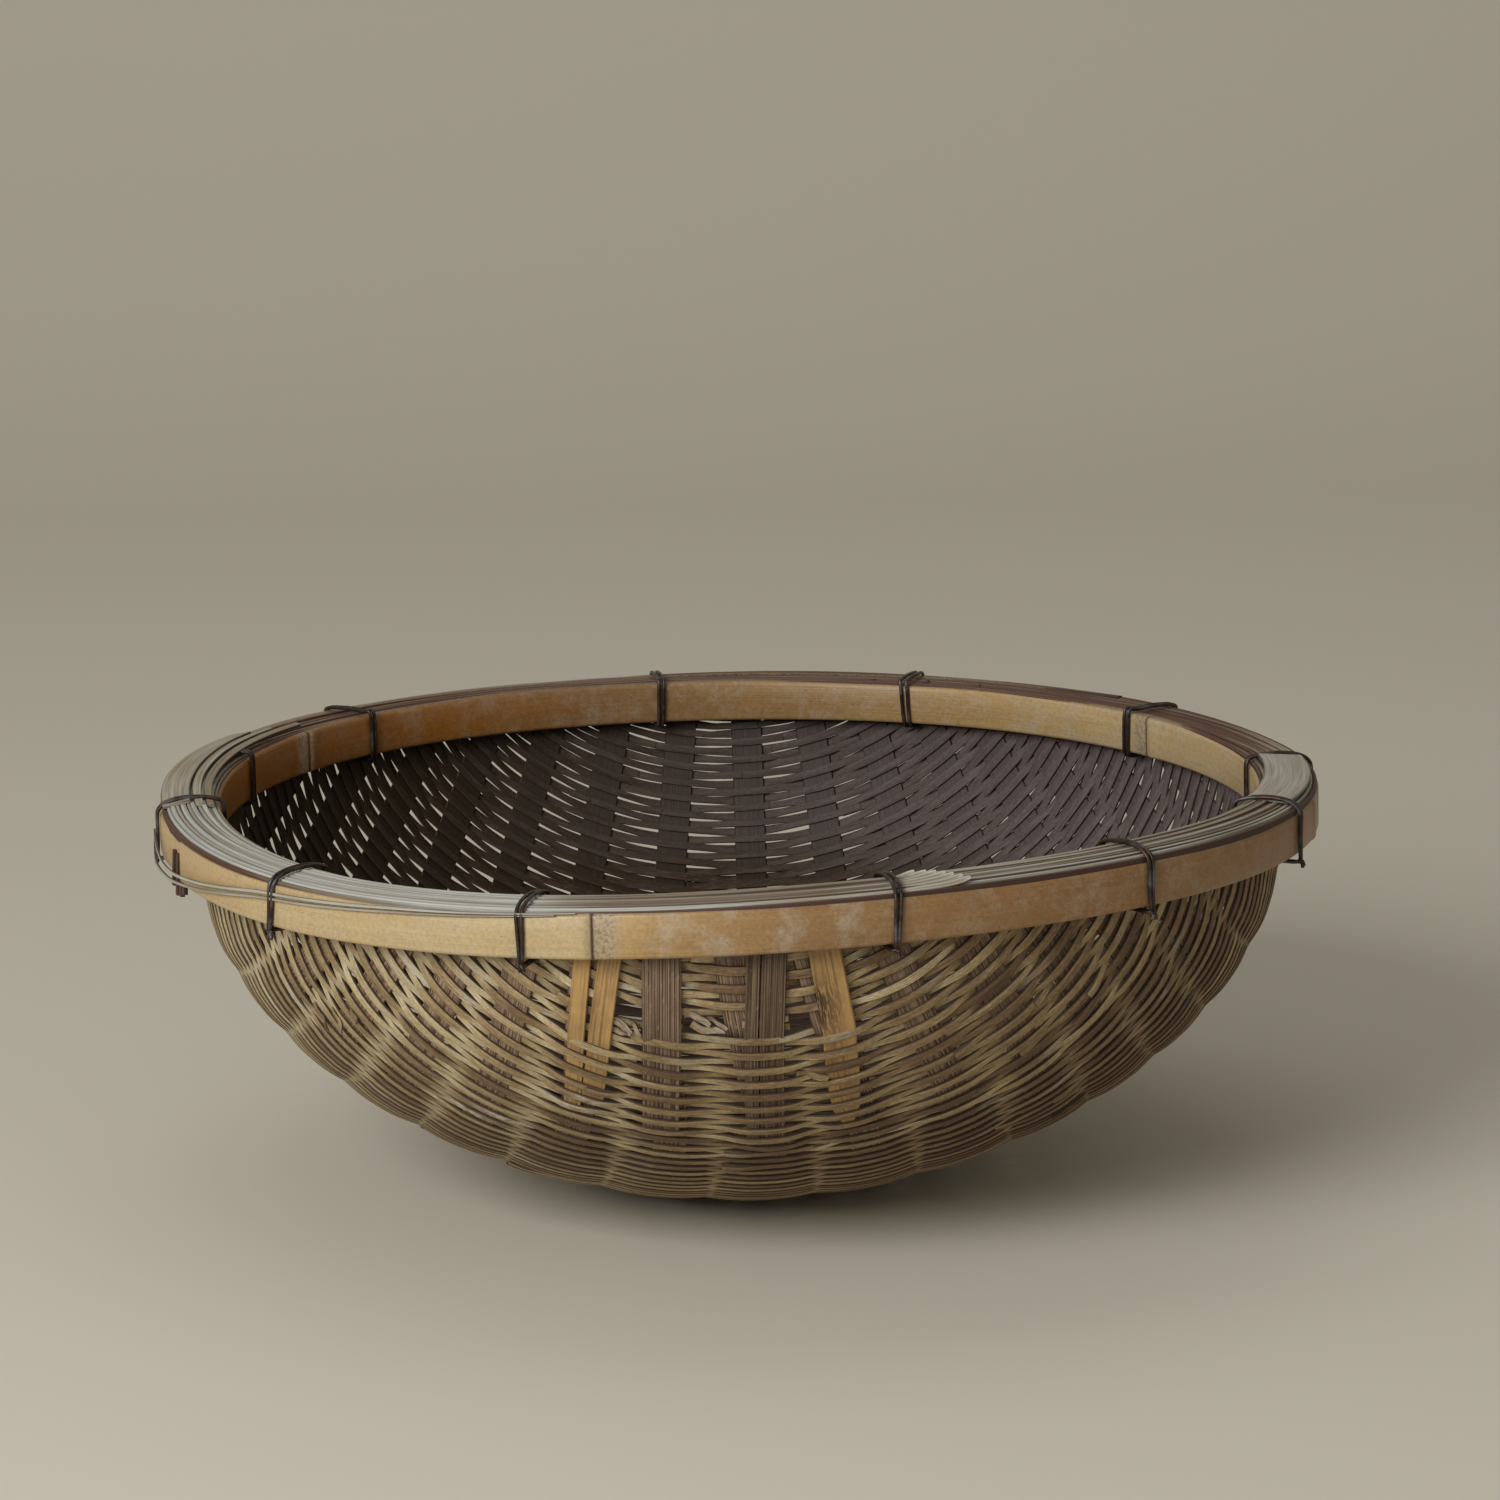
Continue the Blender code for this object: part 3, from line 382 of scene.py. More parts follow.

# Bamboo culm skin with its wax worn off: smooth and satin, straw to brown with painted light and shade round the ring,
# faint lines along it, grey scuffs, scratches and dark specks, and a mottled grey band at each joint of the culm
hoopMaterial = makeMaterial("bambooCulmSkin", (
    ("flat", "UVMap", {"uv_map": "strip"}),
    ("where", "TexCoord", {}),
    ("band", "Attribute", {"attribute_name": "band"}),
    ("groove", "Attribute", {"attribute_name": "groove"}),
    ("shade", "Attribute", {"attribute_name": "shade"}),
    ("cut", "Attribute", {"attribute_name": "cut"}),
    ("rub", "Attribute", {"attribute_name": "rub"}),
    ("lineSize", "Mapping", {"Scale": (11, 1900, 1)}, {0: "flat"}),
    ("line", "TexNoise", {"Scale": 1.0, "Detail": 3.0, "Roughness": 0.6}, {0: "lineSize"}),
    ("broadSize", "Mapping", {"Location": (1.7, 0.4, 0), "Scale": (17, 125, 1)}, {0: "flat"}),
    ("broad", "TexNoise", {"Scale": 1.0, "Detail": 3.0, "Roughness": 0.6}, {0: "broadSize"}),
    ("scratchSize", "Mapping", {"vector_type": "TEXTURE", "Rotation": (0, 0, 0.38), "Scale": (0.0062, 0.00034, 1)}, {0: "flat"}),
    ("scratch", "TexNoise", {"Scale": 1.0, "Detail": 5.0, "Roughness": 0.6}, {0: "scratchSize"}),
    ("shift", "Mapping", {"Location": (0.3, 0.1, 0.7)}, {0: ("where", "Object")}),
    ("wornCloud", "TexNoise", {"Scale": 120.0, "Detail": 10.0, "Roughness": 0.78}, {0: "shift"}),
    ("fine", "TexNoise", {"Scale": 900.0, "Detail": 4.0, "Roughness": 0.62}, {0: ("where", "Object")}),
    ("mottle", "TexNoise", {"Scale": 1100.0, "Detail": 3.0, "Roughness": 0.62}, {0: "shift"}),
    ("vary", "Math", {"operation": "MULTIPLY_ADD", 1: 0.34, 2: -0.17}, {0: "broad"}),
    # the ring's colour value holds painted light and shade as well as the skin's own colour
    ("tint", "Math", {"operation": "ADD"}, {0: ("shade", "Fac"), 1: "vary"}),
    ("skin", "ValToRGB", {"stops": ((0.0, hoopLook["straw"]), (0.40, hoopLook["tan"]), (0.72, hoopLook["brown"]), (1.0, hoopLook["amber"]))},
     {0: "tint"}),
    ("lineShade", "ValToRGB", {"stops": ((0.36, 0.66), (0.56, 1.0))}, {0: "line"}),
    ("lined", "Mix", {"data_type": "RGBA", "blend_type": "MULTIPLY", 0: 0.35}, {6: "skin", 7: "lineShade"}),
    ("wornShare", "MapRange", {1: 0.48, 2: 0.63, 4: 0.50}, {0: "wornCloud"}),
    ("wornHere", "Math", {"operation": "MULTIPLY", "use_clamp": True}, {0: "wornShare", 1: ("rub", "Fac")}),
    ("greyed", "Mix", {"data_type": "RGBA", 7: hoopLook["grey"]}, {0: "wornHere", 6: ("lined", 2)}),
    ("scratchShare", "MapRange", {1: 0.62, 2: 0.69, 4: 0.55}, {0: "scratch"}),
    ("scratched", "Mix", {"data_type": "RGBA", 7: hoopLook["grey"]}, {0: "scratchShare", 6: ("greyed", 2)}),
    ("grain", "MapRange", {1: 0.30, 2: 0.62, 3: 0.74, 4: 1.05}, {0: "fine"}),
    ("grained", "Mix", {"data_type": "RGBA", "blend_type": "MULTIPLY", 0: 0.8}, {6: ("scratched", 2), 7: "grain"}),
    ("speckShare", "MapRange", {1: 0.66, 2: 0.71, 4: 0.7}, {0: "fine"}),
    ("specked", "Mix", {"data_type": "RGBA", 7: hoopLook["stain"]}, {0: "speckShare", 6: ("grained", 2)}),
    ("mottled", "ValToRGB", {"stops": ((0.38, hoopLook["bandDark"]), (0.56, hoopLook["bandLight"]))}, {0: "mottle"}),
    ("banded", "Mix", {"data_type": "RGBA"}, {0: ("band", "Fac"), 6: ("specked", 2), 7: "mottled"}),
    ("grooved", "Mix", {"data_type": "RGBA", 7: hoopLook["groove"]}, {0: ("groove", "Fac"), 6: ("banded", 2)}),
    ("pith", "ValToRGB", {"stops": ((0.40, hoopLook["pith"]), (0.60, hoopLook["pithLight"]))}, {0: "mottle"}),
    ("cutFace", "Mix", {"data_type": "RGBA"}, {0: ("cut", "Fac"), 6: ("grooved", 2), 7: "pith"}),
    ("rough", "MapRange", {2: 0.6, 3: 0.38, 4: 0.60}, {0: "wornHere"}),
    ("relief", "Math", {"operation": "ADD"}, {0: "line", 1: "scratchShare"}),
    ("bump", "Bump", {"Strength": 1.0, "Distance": 0.00006}, {"Height": "relief"}),
), {}, {"Base Color": ("cutFace", 2), "Roughness": ("rough", 0), "Normal": ("bump", 0)})

splintLook = {"silver": "#c6c8c1", "pale": "#a0947e", "brown": "#654333", "line": "#32211b"}

# Thin weathered splints: silver where light and hands reach them, tan or brown where they don't
splintMaterial = makeMaterial("weatheredSplint", (
    ("flat", "UVMap", {"uv_map": "strip"}),
    ("edge", "Attribute", {"attribute_name": "edge"}),
    ("tone", "Attribute", {"attribute_name": "tone"}),
    ("lineSize", "Mapping", {"Scale": (22, 3600, 1)}, {0: "flat"}),
    ("line", "TexNoise", {"Scale": 1.0, "Detail": 3.0, "Roughness": 0.6}, {0: "lineSize"}),
    ("broadSize", "Mapping", {"Location": (5.0, 2.0, 0), "Scale": (30, 650, 1)}, {0: "flat"}),
    ("broad", "TexNoise", {"Scale": 1.0, "Detail": 3.0, "Roughness": 0.6}, {0: "broadSize"}),
    ("vary", "Math", {"operation": "MULTIPLY_ADD", 1: 0.8, 2: -0.4}, {0: "broad"}),
    ("tint", "Math", {"operation": "ADD"}, {0: ("tone", "Fac"), 1: "vary"}),
    ("face", "ValToRGB", {"stops": ((0.0, splintLook["silver"]), (0.42, splintLook["pale"]), (1.0, splintLook["brown"]))}, {0: "tint"}),
    ("lineShade", "ValToRGB", {"stops": ((0.34, 0.30), (0.50, 0.85), (0.62, 1.0))}, {0: "line"}),
    ("lined", "Mix", {"data_type": "RGBA", "blend_type": "MULTIPLY", 0: 0.75}, {6: "face", 7: "lineShade"}),
    ("edged", "Mix", {"data_type": "RGBA", 7: splintLook["line"]}, {0: ("edge", "Fac"), 6: ("lined", 2)}),
    ("bump", "Bump", {"Strength": 1.0, "Distance": 0.00012}, {"Height": "line"}),
), {"Roughness": 0.60}, {"Base Color": ("edged", 2), "Normal": ("bump", 0)})

wireLook = {"dark": "#2b2724", "rust": "#4d382c", "sheen": "#6a6f76"}

# Annealed iron wire: black mill scale gone brown, with dull blue-grey patches, partly rubbed metal and partly a painted
# sheen
wireMaterial = makeMaterial("annealedIronWire", (
    ("where", "TexCoord", {}),
    ("shift", "Mapping", {"Location": (0.4, 0.2, 0.1)}, {0: ("where", "Object")}),
    ("rust", "TexNoise", {"Scale": 250.0, "Detail": 4.0, "Roughness": 0.62}, {0: ("where", "Object")}),
    ("rub", "TexNoise", {"Scale": 143.0, "Detail": 3.0, "Roughness": 0.62}, {0: "shift"}),
    ("fine", "TexNoise", {"Scale": 1400.0, "Detail": 3.0, "Roughness": 0.62}, {0: ("where", "Object")}),
    ("rustShare", "MapRange", {1: 0.42, 2: 0.60}, {0: "rust"}),
    ("rusty", "Mix", {"data_type": "RGBA", 6: wireLook["dark"], 7: wireLook["rust"]}, {0: "rustShare"}),
    # painted sheen: dull blue-grey noise patches, partly rubbed metal
    ("rubShare", "MapRange", {1: 0.50, 2: 0.66, 4: 0.6}, {0: "rub"}),
    ("rubbed", "Mix", {"data_type": "RGBA", 7: wireLook["sheen"]}, {0: "rubShare", 6: ("rusty", 2)}),
    ("bump", "Bump", {"Strength": 1.0, "Distance": 0.00004}, {"Height": "fine"}),
), {"Metallic": 0.55, "Roughness": 0.40}, {"Base Color": ("rubbed", 2), "Normal": ("bump", 0)})
print("materials made")


# Folded rib ends at the front: place is the rib's, x in millimetres at the tip, at the tuck and at the hoop

foldTuck = 0.0805                    # below this height the ends run under the wefts
folds = (
    {"place": -2, "x": (-47.2, -44.9, -42.2), "width": 4.9, "tip": 56.0, "tan": 1.0},
    {"place": -2, "x": (-41.6, -38.5, -34.8), "width": 6.4, "tip": 58.5, "tan": 0.95},
    {"place": -1, "x": (-23.0, -21.8, -21.1), "width": 10.6, "tip": 48.5, "tan": 0.0, "dark": 0.14},
    {"place": 0, "x": (2.0, 2.2, 3.4), "width": 3.8, "tip": 42.0, "tan": 0.0, "dark": 0.42},
    {"place": 0, "x": (7.5, 7.7, 8.9), "width": 6.9, "tip": 41.0, "tan": 0.0, "dark": 0.52},
    {"place": 1, "x": (28.2, 25.8, 21.9), "width": 9.4, "tip": 48.5, "tan": 0.9},
)


# Middle line of a folded end, in metres
def foldX(fold, height):
    heights = (fold["tip"] * millimetre, foldTuck, 0.105)
    return np.interp(height, heights, np.array(fold["x"]) * millimetre)


# Wefts

weave = {
    "pitch": 2.66, "width": 2.38, "dense": 0.42, "loose": 0.14, "open": 0.32, "spread": 0.48, "thick": 0.80, "ribWidth": 9.8, "ribThick": 1.0, "lift": 0.96,
    "squeeze": 0.03, "wander": 0.13, "stationsPerGap": 11, "beyondStations": 9, "splices": 0.6,
    # holes torn at the front: height, then from and to across, in mm
    "holes": ((84.2, -38.5, -27.5), (82.0, -37.5, -26.5), (83.0, -15.8, -1.5), (80.6, -14.8, -3.0), (82.2, 13.5, 21.0)),
}
weftOutline = ((-0.5, -0.40), (-0.5, 0.36), (-0.45, 0.5), (0.45, 0.5), (0.5, 0.36), (0.5, -0.40), (0.45, -0.5), (-0.45, -0.5))
# side faces that take the dark edge colour: partly the cut edges' own colour, partly painted shade in the gaps beside
# them
weftEdges = np.array([1.0, 1.0, 0.0, 0.0, 1.0, 1.0, 0.0, 0.0])
weftInner = np.array([0.6, 0.0, 0.0, 0.0, 0.0, 0.6, 1.0, 1.0])
solidPitch = 8.4315 * millimetre
stripCourses = (1,) + 16 * (3,) + (1, 1)


def stripOf(along):
    course = round(along / solidPitch) + 25
    total = 0
    for number, count in enumerate(stripCourses, start=1):
        total += count
        if course < total:
            return number
    return len(stripCourses)


def stationSlopes():
    slopes = []
    for first, second in zip(ribSlopes, ribSlopes[1:]):
        slopes += list(np.linspace(first, second, weave["stationsPerGap"], endpoint=False))
    beyond = np.linspace(ribSlopes[-1], 0.922, weave["beyondStations"])
    return np.array(list(-beyond[:0:-1]) + slopes + list(beyond))


# +1 outside a rib, -1 inside it
def weavePhase(slopes, along, course):
    last = ribSlopes[-1] + (ribSlopes[-1] - ribSlopes[-2])
    marks = np.concatenate([[-last - 0.1, -last], ribSlopes, [last, last + 0.1]])
    index = np.clip(np.searchsorted(marks, slopes, side="right") - 1, 0, len(marks) - 2)
    left, right = marks[index], marks[index + 1]
    share = (slopes - left) / (right - left)
    gap = np.linalg.norm(wallAt(np.clip(right, -0.92, 0.92), along) - wallAt(np.clip(left, -0.92, 0.92), along), axis=-1)
    gap = np.maximum(gap, 12 * millimetre)
    hold = np.minimum(0.47 * weave["ribWidth"] * millimetre / gap, 0.36)
    move = np.clip((share - hold) / (1 - 2 * hold), 0, 1)
    sign = np.where((index - 9 + course) % 2 == 0, 1.0, -1.0)
    bend = 0.5 * np.cos(np.pi * move) + 0.5 * (1 - 2 * move)
    calm = np.where(np.abs(slopes) > ribSlopes[-1], np.clip(1 - (np.abs(slopes) - ribSlopes[-1]) / 0.14, 0.25, 1), 1.0)
    return sign * bend * calm


# Random places along one weft where its skin is rubbed pale
def scuffsAlong(stations, amount):
    worn = np.zeros(len(stations))
    for _ in range(chance.poisson(amount)):
        middle, reach = chance.uniform(0, 1), chance.uniform(0.008, 0.035)
        worn = np.maximum(worn, chance.uniform(0.4, 1.0) * np.clip(1.6 - np.abs(stations - middle) / reach, 0, 1))
    return worn


# How brown a weft looks at each station: dirt and ageing, with painted shade and painted light mixed in
def ageAndShadeAlong(centres, phase, height):
    sideX = centres[:, 0] / wallRadius
    # browner to the right and low down: partly dirt and ageing, partly painted shade
    olderAndShaded = 0.32 + 0.17 * np.clip(sideX + 0.25, -0.6, 1) + 0.15 * np.clip(0.62 - height, 0, 1)
    proud = np.clip(phase, 0, 1) ** 2
    olderAndShaded += 0.12 * proud * np.clip(1.15 - np.abs(sideX), 0.25, 1) * np.clip(1.4 - height, 0.3, 1)
    olderAndShaded -= 0.20 * np.exp(-((phase + 0.40) / 0.45) ** 2) * np.clip(0.76 - 1.15 * sideX, 0.05, 1) * np.clip(3.4 * height - 0.3, 0.1, 1)
    # painted light: paler on the foot as bounce from the floor, and paler high up at the left where the lamp falls
    olderAndShaded -= 0.22 * np.clip((0.26 - height) / 0.15, 0, 1) + 0.08 * np.clip((height - 0.6) * 4, 0, 1) * np.clip(-0.2 - sideX, 0, 0.3) / 0.3
    return olderAndShaded


def makeWefts():
    strips = {}
    allSlopes = stationSlopes()
    reach = endLengths[0]
    most = int(reach / (weave["pitch"] * millimetre))
    slide = 0.0
    for course in range(-most, most + 1):
        slide = 0.55 * slide + chance.normal(0, 0.13)
        along = (course * weave["pitch"] + slide) * millimetre
        edge = abs(along) + weave["width"] / 2 * millimetre
        limit = endSlope(min(edge, reach - 0.05 * millimetre))
        slopes = allSlopes[np.abs(allSlopes) < limit - 0.008]
        slopes = np.concatenate([[-limit], slopes, [limit]])
        stations = np.linspace(0, 1, len(slopes))
        wander = np.zeros(len(slopes))
        for wave in range(1, 9):
            wander += chance.normal(0, 0.6 / wave ** 0.7) * np.sin(stations * math.pi * 3.4 * wave + chance.uniform(0, 6.3))
        places = along + wander * weave["wander"] * millimetre
        base = wallAt(leaned(slopes, places), places)
        outward = outwardAt(base)
        phase = weavePhase(slopes, along, course)
        lift = phase * weave["lift"] * millimetre
        solid = turned(base)
        if along < 0:
            for fold in folds:
                over = (fold["place"] + course) % 2 == 0
                inside = (solid[:, 2] < foldTuck) & (solid[:, 2] > fold["tip"] * millimetre - 0.001)
                off = np.abs(solid[:, 0] - foldX(fold, solid[:, 2]))
                near = np.clip(1 - (off - fold["width"] / 2 * millimetre) / (8 * millimetre), 0, 1)
                near = near * near * (3 - 2 * near)
                if over:
                    lift = np.where(inside, np.maximum(lift, (1.05 + weave["lift"]) * millimetre * near), lift)
        for _ in range(2):
            lift[1:-1] = (lift[:-2] + 2 * lift[1:-1] + lift[2:]) / 4
        centres = turned(base + outward * lift[:, None])
        normals = turned(outward)
        height = centres[:, 2] / bowl["height"]
        sideX = centres[:, 0] / wallRadius
        # the weave is closed on the floor and at the back on the right
        atBack = np.clip(centres[:, 1] / 0.04, 0, 1)
        closed = np.maximum(np.clip((0.34 - height) / 0.2, 0, 1),
                            atBack * np.maximum(np.clip((sideX - 0.05) / 0.4, 0, 1), np.clip((0.52 - height) / 0.08, 0, 1)))
        # and loosest at the back on the left
        loose = atBack * np.clip((0.25 - sideX) / 0.3, 0, 1) * np.clip((height - 0.44) / 0.10, 0, 1)
        # the front shows dark gaps beside its ribs
        gappy = np.clip(-centres[:, 1] / 0.06, 0, 1) * np.clip((height - 0.16) / 0.15, 0, 1) * np.clip(1.4 - 2.2 * np.abs(sideX), 0.25, 1)
        width = weave["width"] + weave["dense"] * closed - weave["loose"] * loose - weave["open"] * gappy
        width = width + weave["spread"] * np.clip(phase, 0, 1)            # flattened where it crosses a rib
        width = width * millimetre * chance.uniform(0.93, 1.06)
        width = width * (1 - weave["squeeze"] * (1 - np.abs(phase)))
        thick = weave["thick"] * millimetre * chance.uniform(0.85, 1.05)
        olderAndShaded = ageAndShadeAlong(centres, phase, height) + chance.normal(0, 0.11)
        age = np.repeat(olderAndShaded[:, None], 8, axis=1)
        # painted sheen on the inner faces, high up and most at the right; elsewhere they keep the dark inner colour,
        # partly painted shade
        sheen = weftInner[None, :] * (1 + np.clip(0.55 + 0.75 * sideX, 0, 1.2) * np.clip((height - 0.46) / 0.12, 0, 1))[:, None]
        worn = scuffsAlong(stations, 1.6) * np.clip(0.75 - 0.5 * sideX, 0.2, 1)
        worn = np.maximum(worn, np.clip(0.60 - np.abs(phase - 0.1), 0, 1) * np.clip(-0.22 - sideX, 0, 0.4) * 3.2 * chance.uniform(0, 1))
        strip = strips.setdefault(stripOf(course * weave["pitch"] * millimetre), StripMesh())
        cuts = []
        if len(slopes) > 40:
            cuts = sorted(chance.choice(np.arange(16, len(slopes) - 16), size=min(chance.poisson(weave["splices"]), 2),
                                        replace=False).tolist())
            # none under the foot or at the sides
            cuts = [cut for cut in cuts if height[cut] > 0.1 and abs(centres[cut, 0]) < 0.85 * np.hypot(*centres[cut, :2])]
        torn = np.zeros(len(slopes), dtype=bool)
        if along < 0:
            for holeZ, holeFrom, holeTo in weave["holes"]:
                near = np.abs(np.interp(0.0, centres[:, 0], centres[:, 2]) * 1000 - holeZ) < weave["pitch"] * 0.40
                torn |= near & (centres[:, 0] * 1000 > holeFrom) & (centres[:, 0] * 1000 < holeTo)
        start = 0
        for cut in cuts + [len(slopes) - 1]:
            kept = np.array([place for place in range(max(start - 3, 0), cut + 1) if not torn[place]])
            for part in np.split(kept, np.where(np.diff(kept) > 1)[0] + 1):
                count = len(part)
                if count < 4:
                    continue
                proud = np.zeros(count)
                if start and part[0] <= start:
                    proud[:5] = (np.array([0.8, 0.75, 0.65, 0.35, 0.1]) * millimetre)[:count]
                strip.add(centres[part] + normals[part] * proud[:, None], normals[part], width[part], thick,
                          {"age": age[part] + (chance.normal(0, 0.08) if start else 0), "worn": worn[part],
                           "edge": np.tile(weftEdges, (count, 1)), "inner": sheen[part]},
                          outline=weftOutline, shift=chance.uniform(0, 3))
            start = cut
    addBrokenEnds(strips)
    for number, strip in sorted(strips.items()):
        piece = strip.make(f"weftStrip{number:02d}", weftMaterial)
        standsFor(piece, "weft", f"weft_strip_{number:02d}")


# Snapped wefts: x and height of both ends, how far the loose end stands out, its curl, width and wear, in mm
brokenEnds = (
    (-38.6, 86.2, -29.8, 82.8, 1.6, 1.5, 2.4, 1.0), (-37.0, 84.0, -31.0, 81.6, 2.0, -1.2, 1.8, 0.8),
    (-30.6, 84.6, -27.4, 82.0, 2.4, 1.2, 1.6, 0.6), (-15.8, 86.4, -8.6, 84.6, 1.8, 1.4, 2.2, 1.0),
    (-13.8, 83.6, -4.6, 81.8, 2.2, -1.6, 2.4, 0.9), (-9.6, 85.0, -4.2, 83.4, 2.8, 1.0, 1.5, 0.7),
    (14.2, 66.8, 22.6, 65.8, 2.0, 0.3, 2.3, 0.0), (-119.5, 79.0, -114.0, 71.5, 2.2, -1.0, 1.8, 0.2),
    (-114.5, 80.0, -110.0, 73.5, 2.4, 0.8, 1.5, 0.1), (-109.0, 81.0, -105.5, 77.5, 2.0, 0.5, 1.4, 0.3),
)


def addBrokenEnds(strips):
    for startX, startZ, endX, endZ, out, curl, width, wear in brokenEnds:
        share = np.linspace(0, 1, 13)
        x = (startX + (endX - startX) * share) * millimetre
        z = (startZ + (endZ - startZ) * share + 0.5 * curl * np.sin(share * 4.2)) * millimetre
        radius = radiusAt(z)
        middle = np.stack([x, -np.sqrt(radius ** 2 - x ** 2), z], -1)
        normal = outwardAt(middle)
        away = (0.7 + out * share ** 1.4 + 0.35 * np.sin(share * 9.0 + startX)) * millimetre
        number = stripOf(-np.interp(startZ * millimetre, wallTable[0, :, 2], np.linspace(0, 0.225, 901)))
        strips.setdefault(number, StripMesh()).add(
            middle + normal * away[:, None], normal, width * millimetre * (1 - 0.3 * share), 0.5 * millimetre,
            {"age": 0.44 + chance.uniform(-0.08, 0.12), "worn": wear * (0.25 + 0.4 * share), "edge": np.tile(weftEdges, (13, 1)),
             "inner": np.zeros((13, 8))}, outline=weftOutline, shift=chance.uniform(0, 3),
            tilt=0.8 * np.sin(share * 5.0 + startZ) * share * np.sign(curl))


makeWefts()
print("wefts woven")


# Ribs, with the folded ends at the front

ribOutline = ((-0.5, 0.0), (-0.47, 0.5), (0.47, 0.5), (0.5, 0.0), (0.47, -0.5), (-0.47, -0.5))
ribInner = np.array([0.5, 0.0, 0.0, 0.5, 1.0, 1.0])


def makeRibs():
    for index, slope in enumerate(ribSlopes):
        place = index - 7
        strip = StripMesh()
        reach = np.interp(abs(slope), tableSlopes, endLengths)
        along = np.linspace(-reach, reach, 110)
        base = wallAt(leaned(np.full(110, slope), along), along)
        outward = outwardAt(base)
        # painted shade: the outer faces of the ribs at the right take part of the dark inner colour
        paintedShadeRight = 0.6 * np.clip((slope - 0.15) / 0.3, 0, 1) * (1 - ribInner)        # the ribs at the right
        # the inner faces get the dark inner colour, partly painted shade, and a painted sheen high up at the right
        strip.add(turned(base), turned(outward), weave["ribWidth"] * millimetre, weave["ribThick"] * millimetre,
                  {"tan": 0.0, "stain": 0.0, "inner": paintedShadeRight + ribInner[None, :] * (1 + np.clip(0.55 + 0.75 * base[:, :1] / wallRadius, 0, 1.2)
                                                                        * np.clip((base[:, 2:] / bowl["height"] - 0.46) / 0.12, 0, 1))},
                  outline=ribOutline, shift=index * 0.31)
        for fold in (item for item in folds if item["place"] == place):
            count = 48
            height = np.linspace(0.1135, fold["tip"] * millimetre, count)
            x = foldX(fold, height)
            radius = radiusAt(height)
            middle = np.stack([x, -np.sqrt(radius ** 2 - x ** 2), height], -1)
            normal = outwardAt(middle)
            tucked = np.clip((foldTuck + 0.001 - height) / 0.007, 0, 1)
            tucked = tucked * tucked * (3 - 2 * tucked)
            away = 2.05 * (1 - tucked) + 1.08 * tucked
            width = np.full(count, fold["width"])
            stain = np.zeros(count)
            if place == 1:
                width = np.interp(height * 1000, (48.5, 54, 66, 105), (3.2, 7.8, 9.4, 8.8))
                stain = np.clip(1.4 - np.abs(height * 1000 - 88) / 8, 0, 1)
            outline = ((-0.5, 0.0), (-0.46, 0.5), (0.46, 0.5), (0.5, 0.0), (0.46, -0.5), (-0.46, -0.5))
            stainAt = np.zeros((count, 6))
            stainAt[:, 2:5] = stain[:, None]
            strip.add(middle + normal * (away * millimetre)[:, None], normal, width * millimetre, 0.9 * millimetre,
                      {"tan": fold["tan"], "stain": stainAt, "inner": fold.get("dark", 0.0)}, shift=fold["x"][0] * 0.05, outline=outline)
        piece = strip.make(f"rib{index + 1:02d}", ribMaterial)
        standsFor(piece, "rib", f"rib_{index + 1:02d}")


makeRibs()
print("ribs laid")


# Hoops, splints and loose strips on the rim

def ringPoints(angles, radius, height):
    turn = np.radians(angles)
    return np.stack([radius * np.cos(turn), radius * np.sin(turn), np.broadcast_to(height, turn.shape)], -1)


def ringOutward(angles):
    turn = np.radians(angles)
    return np.stack([np.cos(turn), np.sin(turn), np.zeros_like(turn)], -1)


# start and lap in degrees; the colour is given at a few angles, 0 for straw and 1 for amber, with painted light and
# shade in it: palest where the lamp falls on the outer hoop's front left, browner round to the right, amber as painted
# warm bounce light on the inner hoop's shaded left
hoops = {
    "outer": {"start": -160.0, "lap": 26.0, "joints": (-103.6, -12.0, 76.0, 158.0), "height": 12.2,
              "shadeAt": (-180, -150, -122, -106, -98, -84, -60, -20, 90, 180), "shade": (0.34, 0.28, 0.20, 0.22, 0.52, 0.66, 0.75, 0.72, 0.6, 0.34),
              "tallerAt": (-180, -112, -104, -93, -84, -76, 180), "taller": (0.0, 0.2, 0.9, 0.9, 0.3, 0.0, 0.0),
              "rubAt": (-180, -130, -110, -98, -80, -70, -50, -40, 180), "rub": (0.2, 0.3, 0.6, 1.0, 0.95, 0.4, 0.7, 0.45, 0.3)},
    "inner": {"start": 250.0, "lap": 20.0, "joints": (34.0, 150.0, 222.0, 310.0), "height": 12.4,
              "shadeAt": (-180, -90, 0, 40, 60, 90, 125, 180), "shade": (0.98, 0.6, 0.3, 0.25, 0.42, 0.62, 0.86, 0.98),
              "tallerAt": (-180, 180), "taller": (0.0, 0.0),
              "rubAt": (-180, 0, 60, 180), "rub": (0.12, 0.9, 0.9, 0.12)},
}
hoopOutline = ((-0.5, -0.5), (-0.5, 0.28), (-0.47, 0.42), (-0.41, 0.5), (0.41, 0.5), (0.47, 0.42), (0.5, 0.28), (0.5, -0.5))
hoopCut = np.array([1.0, 0.5, 0.0, 0.0, 0.0, 0.0, 0.5, 1.0])


